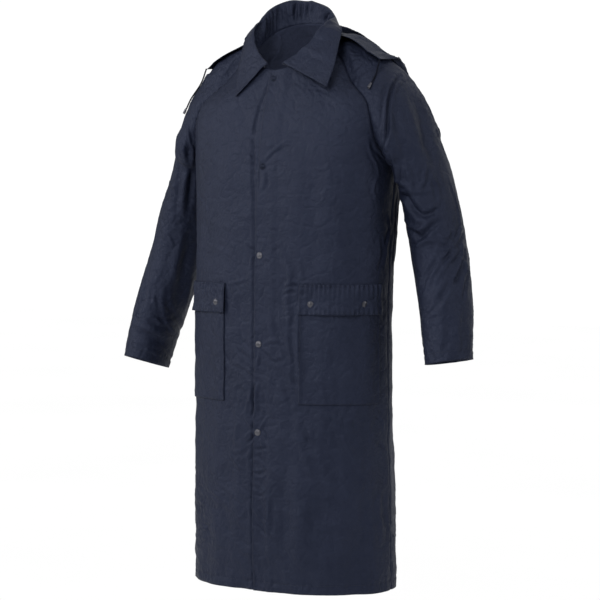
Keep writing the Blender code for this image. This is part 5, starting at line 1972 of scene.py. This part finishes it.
floor_shape = bmesh.new()
bmesh.ops.create_grid(floor_shape, x_segments=8, y_segments=8, size=14.0)
floor_mesh = bpy.data.meshes.new("studio floor")
floor_shape.to_mesh(floor_mesh)
floor_shape.free()
floor_mesh.transform(Matrix.Translation((0.0, 0.0, FLOOR_Z)))
floor = bpy.data.objects.new("studio floor", floor_mesh)
SCENE.collection.objects.link(floor)


def apart_for_camera(tree, others, own):
    """One shader for the camera's own rays and another for all other rays."""
    seen = add_node(tree, "ShaderNodeLightPath", (200, 300))
    choice = add_node(tree, "ShaderNodeMixShader", (600, 200), _0=seen.outputs["Is Camera Ray"],
                      _1=others.outputs[0], _2=own.outputs[0])
    return choice.outputs[0]


def floor_material():
    material, tree, shader = principled("pale floor")
    where = add_node(tree, "ShaderNodeTexCoord", (-700, 0))
    cloud = add_node(tree, "ShaderNodeTexNoise", (-450, 0), Vector=where.outputs["Object"],
                     Scale=1.2, Detail=3.0)
    colour = blend_colours(tree, (-150, 100), cloud.outputs[0], (0.93, 0.93, 0.93, 1.0),
                           (0.96, 0.96, 0.96, 1.0))
    wire(tree, shader, colour,
         spread(tree, (-150, -120), cloud.outputs[0], 0.3, 0.7, 0.85, 0.95))
    out = next(node for node in tree.nodes if node.type == "OUTPUT_MATERIAL")
    paper = add_node(tree, "ShaderNodeEmission", (400, 250), Color=colour, Strength=PAPER_GLOW)
    tree.links.new(apart_for_camera(tree, shader, paper), out.inputs[0])
    return material


floor_mesh.materials.append(floor_material())

world = bpy.data.worlds.new("studio")
SCENE.world = world
world.use_nodes = True
sky = world.node_tree
glow = sky.nodes["Background"]
glow.inputs["Color"].default_value = (0.92, 0.95, 1.0, 1.0)
glow.inputs["Strength"].default_value = WORLD_FILL
backdrop = add_node(sky, "ShaderNodeBackground", (0, -200), Color=(1.0, 1.0, 1.0, 1.0),
                    Strength=WORLD_SEEN)
sky.links.new(apart_for_camera(sky, glow, backdrop), sky.nodes["World Output"].inputs[0])


def add_light(name, place, target, size, watts):
    light = bpy.data.lights.new(name, "AREA")
    light.shape = "RECTANGLE"
    light.size, light.size_y = size
    light.energy = watts
    made = bpy.data.objects.new(name, light)
    made.location = place
    toward = Vector(target) - Vector(place)
    made.rotation_euler = toward.to_track_quat("-Z", "Y").to_euler()
    SCENE.collection.objects.link(made)


COAT_MIDDLE = (0.0, 0.0, -0.45)
add_light("key light", (0.15, -3.50, 1.70), COAT_MIDDLE, (1.8, 1.8), 80.0)
add_light("left light", (-2.60, -1.70, 0.70), COAT_MIDDLE, (0.9, 2.2), 40.0)
add_light("top light", (0.10, 0.70, 2.30), (0.0, 0.0, 0.0), (2.6, 2.6), 12.0)
add_light("back light", (-0.80, 3.60, 0.60), COAT_MIDDLE, (4.6, 4.2), 30.0)
add_light("right light", (3.20, 0.30, 0.90), COAT_MIDDLE, (0.9, 2.2), 25.0)
lamp = bpy.data.lights.new("neck glow", "POINT")
lamp.energy = 0.25
lamp.shadow_soft_size = 0.06
neck_glow = bpy.data.objects.new("neck glow", lamp)
neck_glow.location = (-0.02, -0.02, -0.12)
neck_glow.visible_camera = False
SCENE.collection.objects.link(neck_glow)
SCENE.view_settings.view_transform = "Standard"
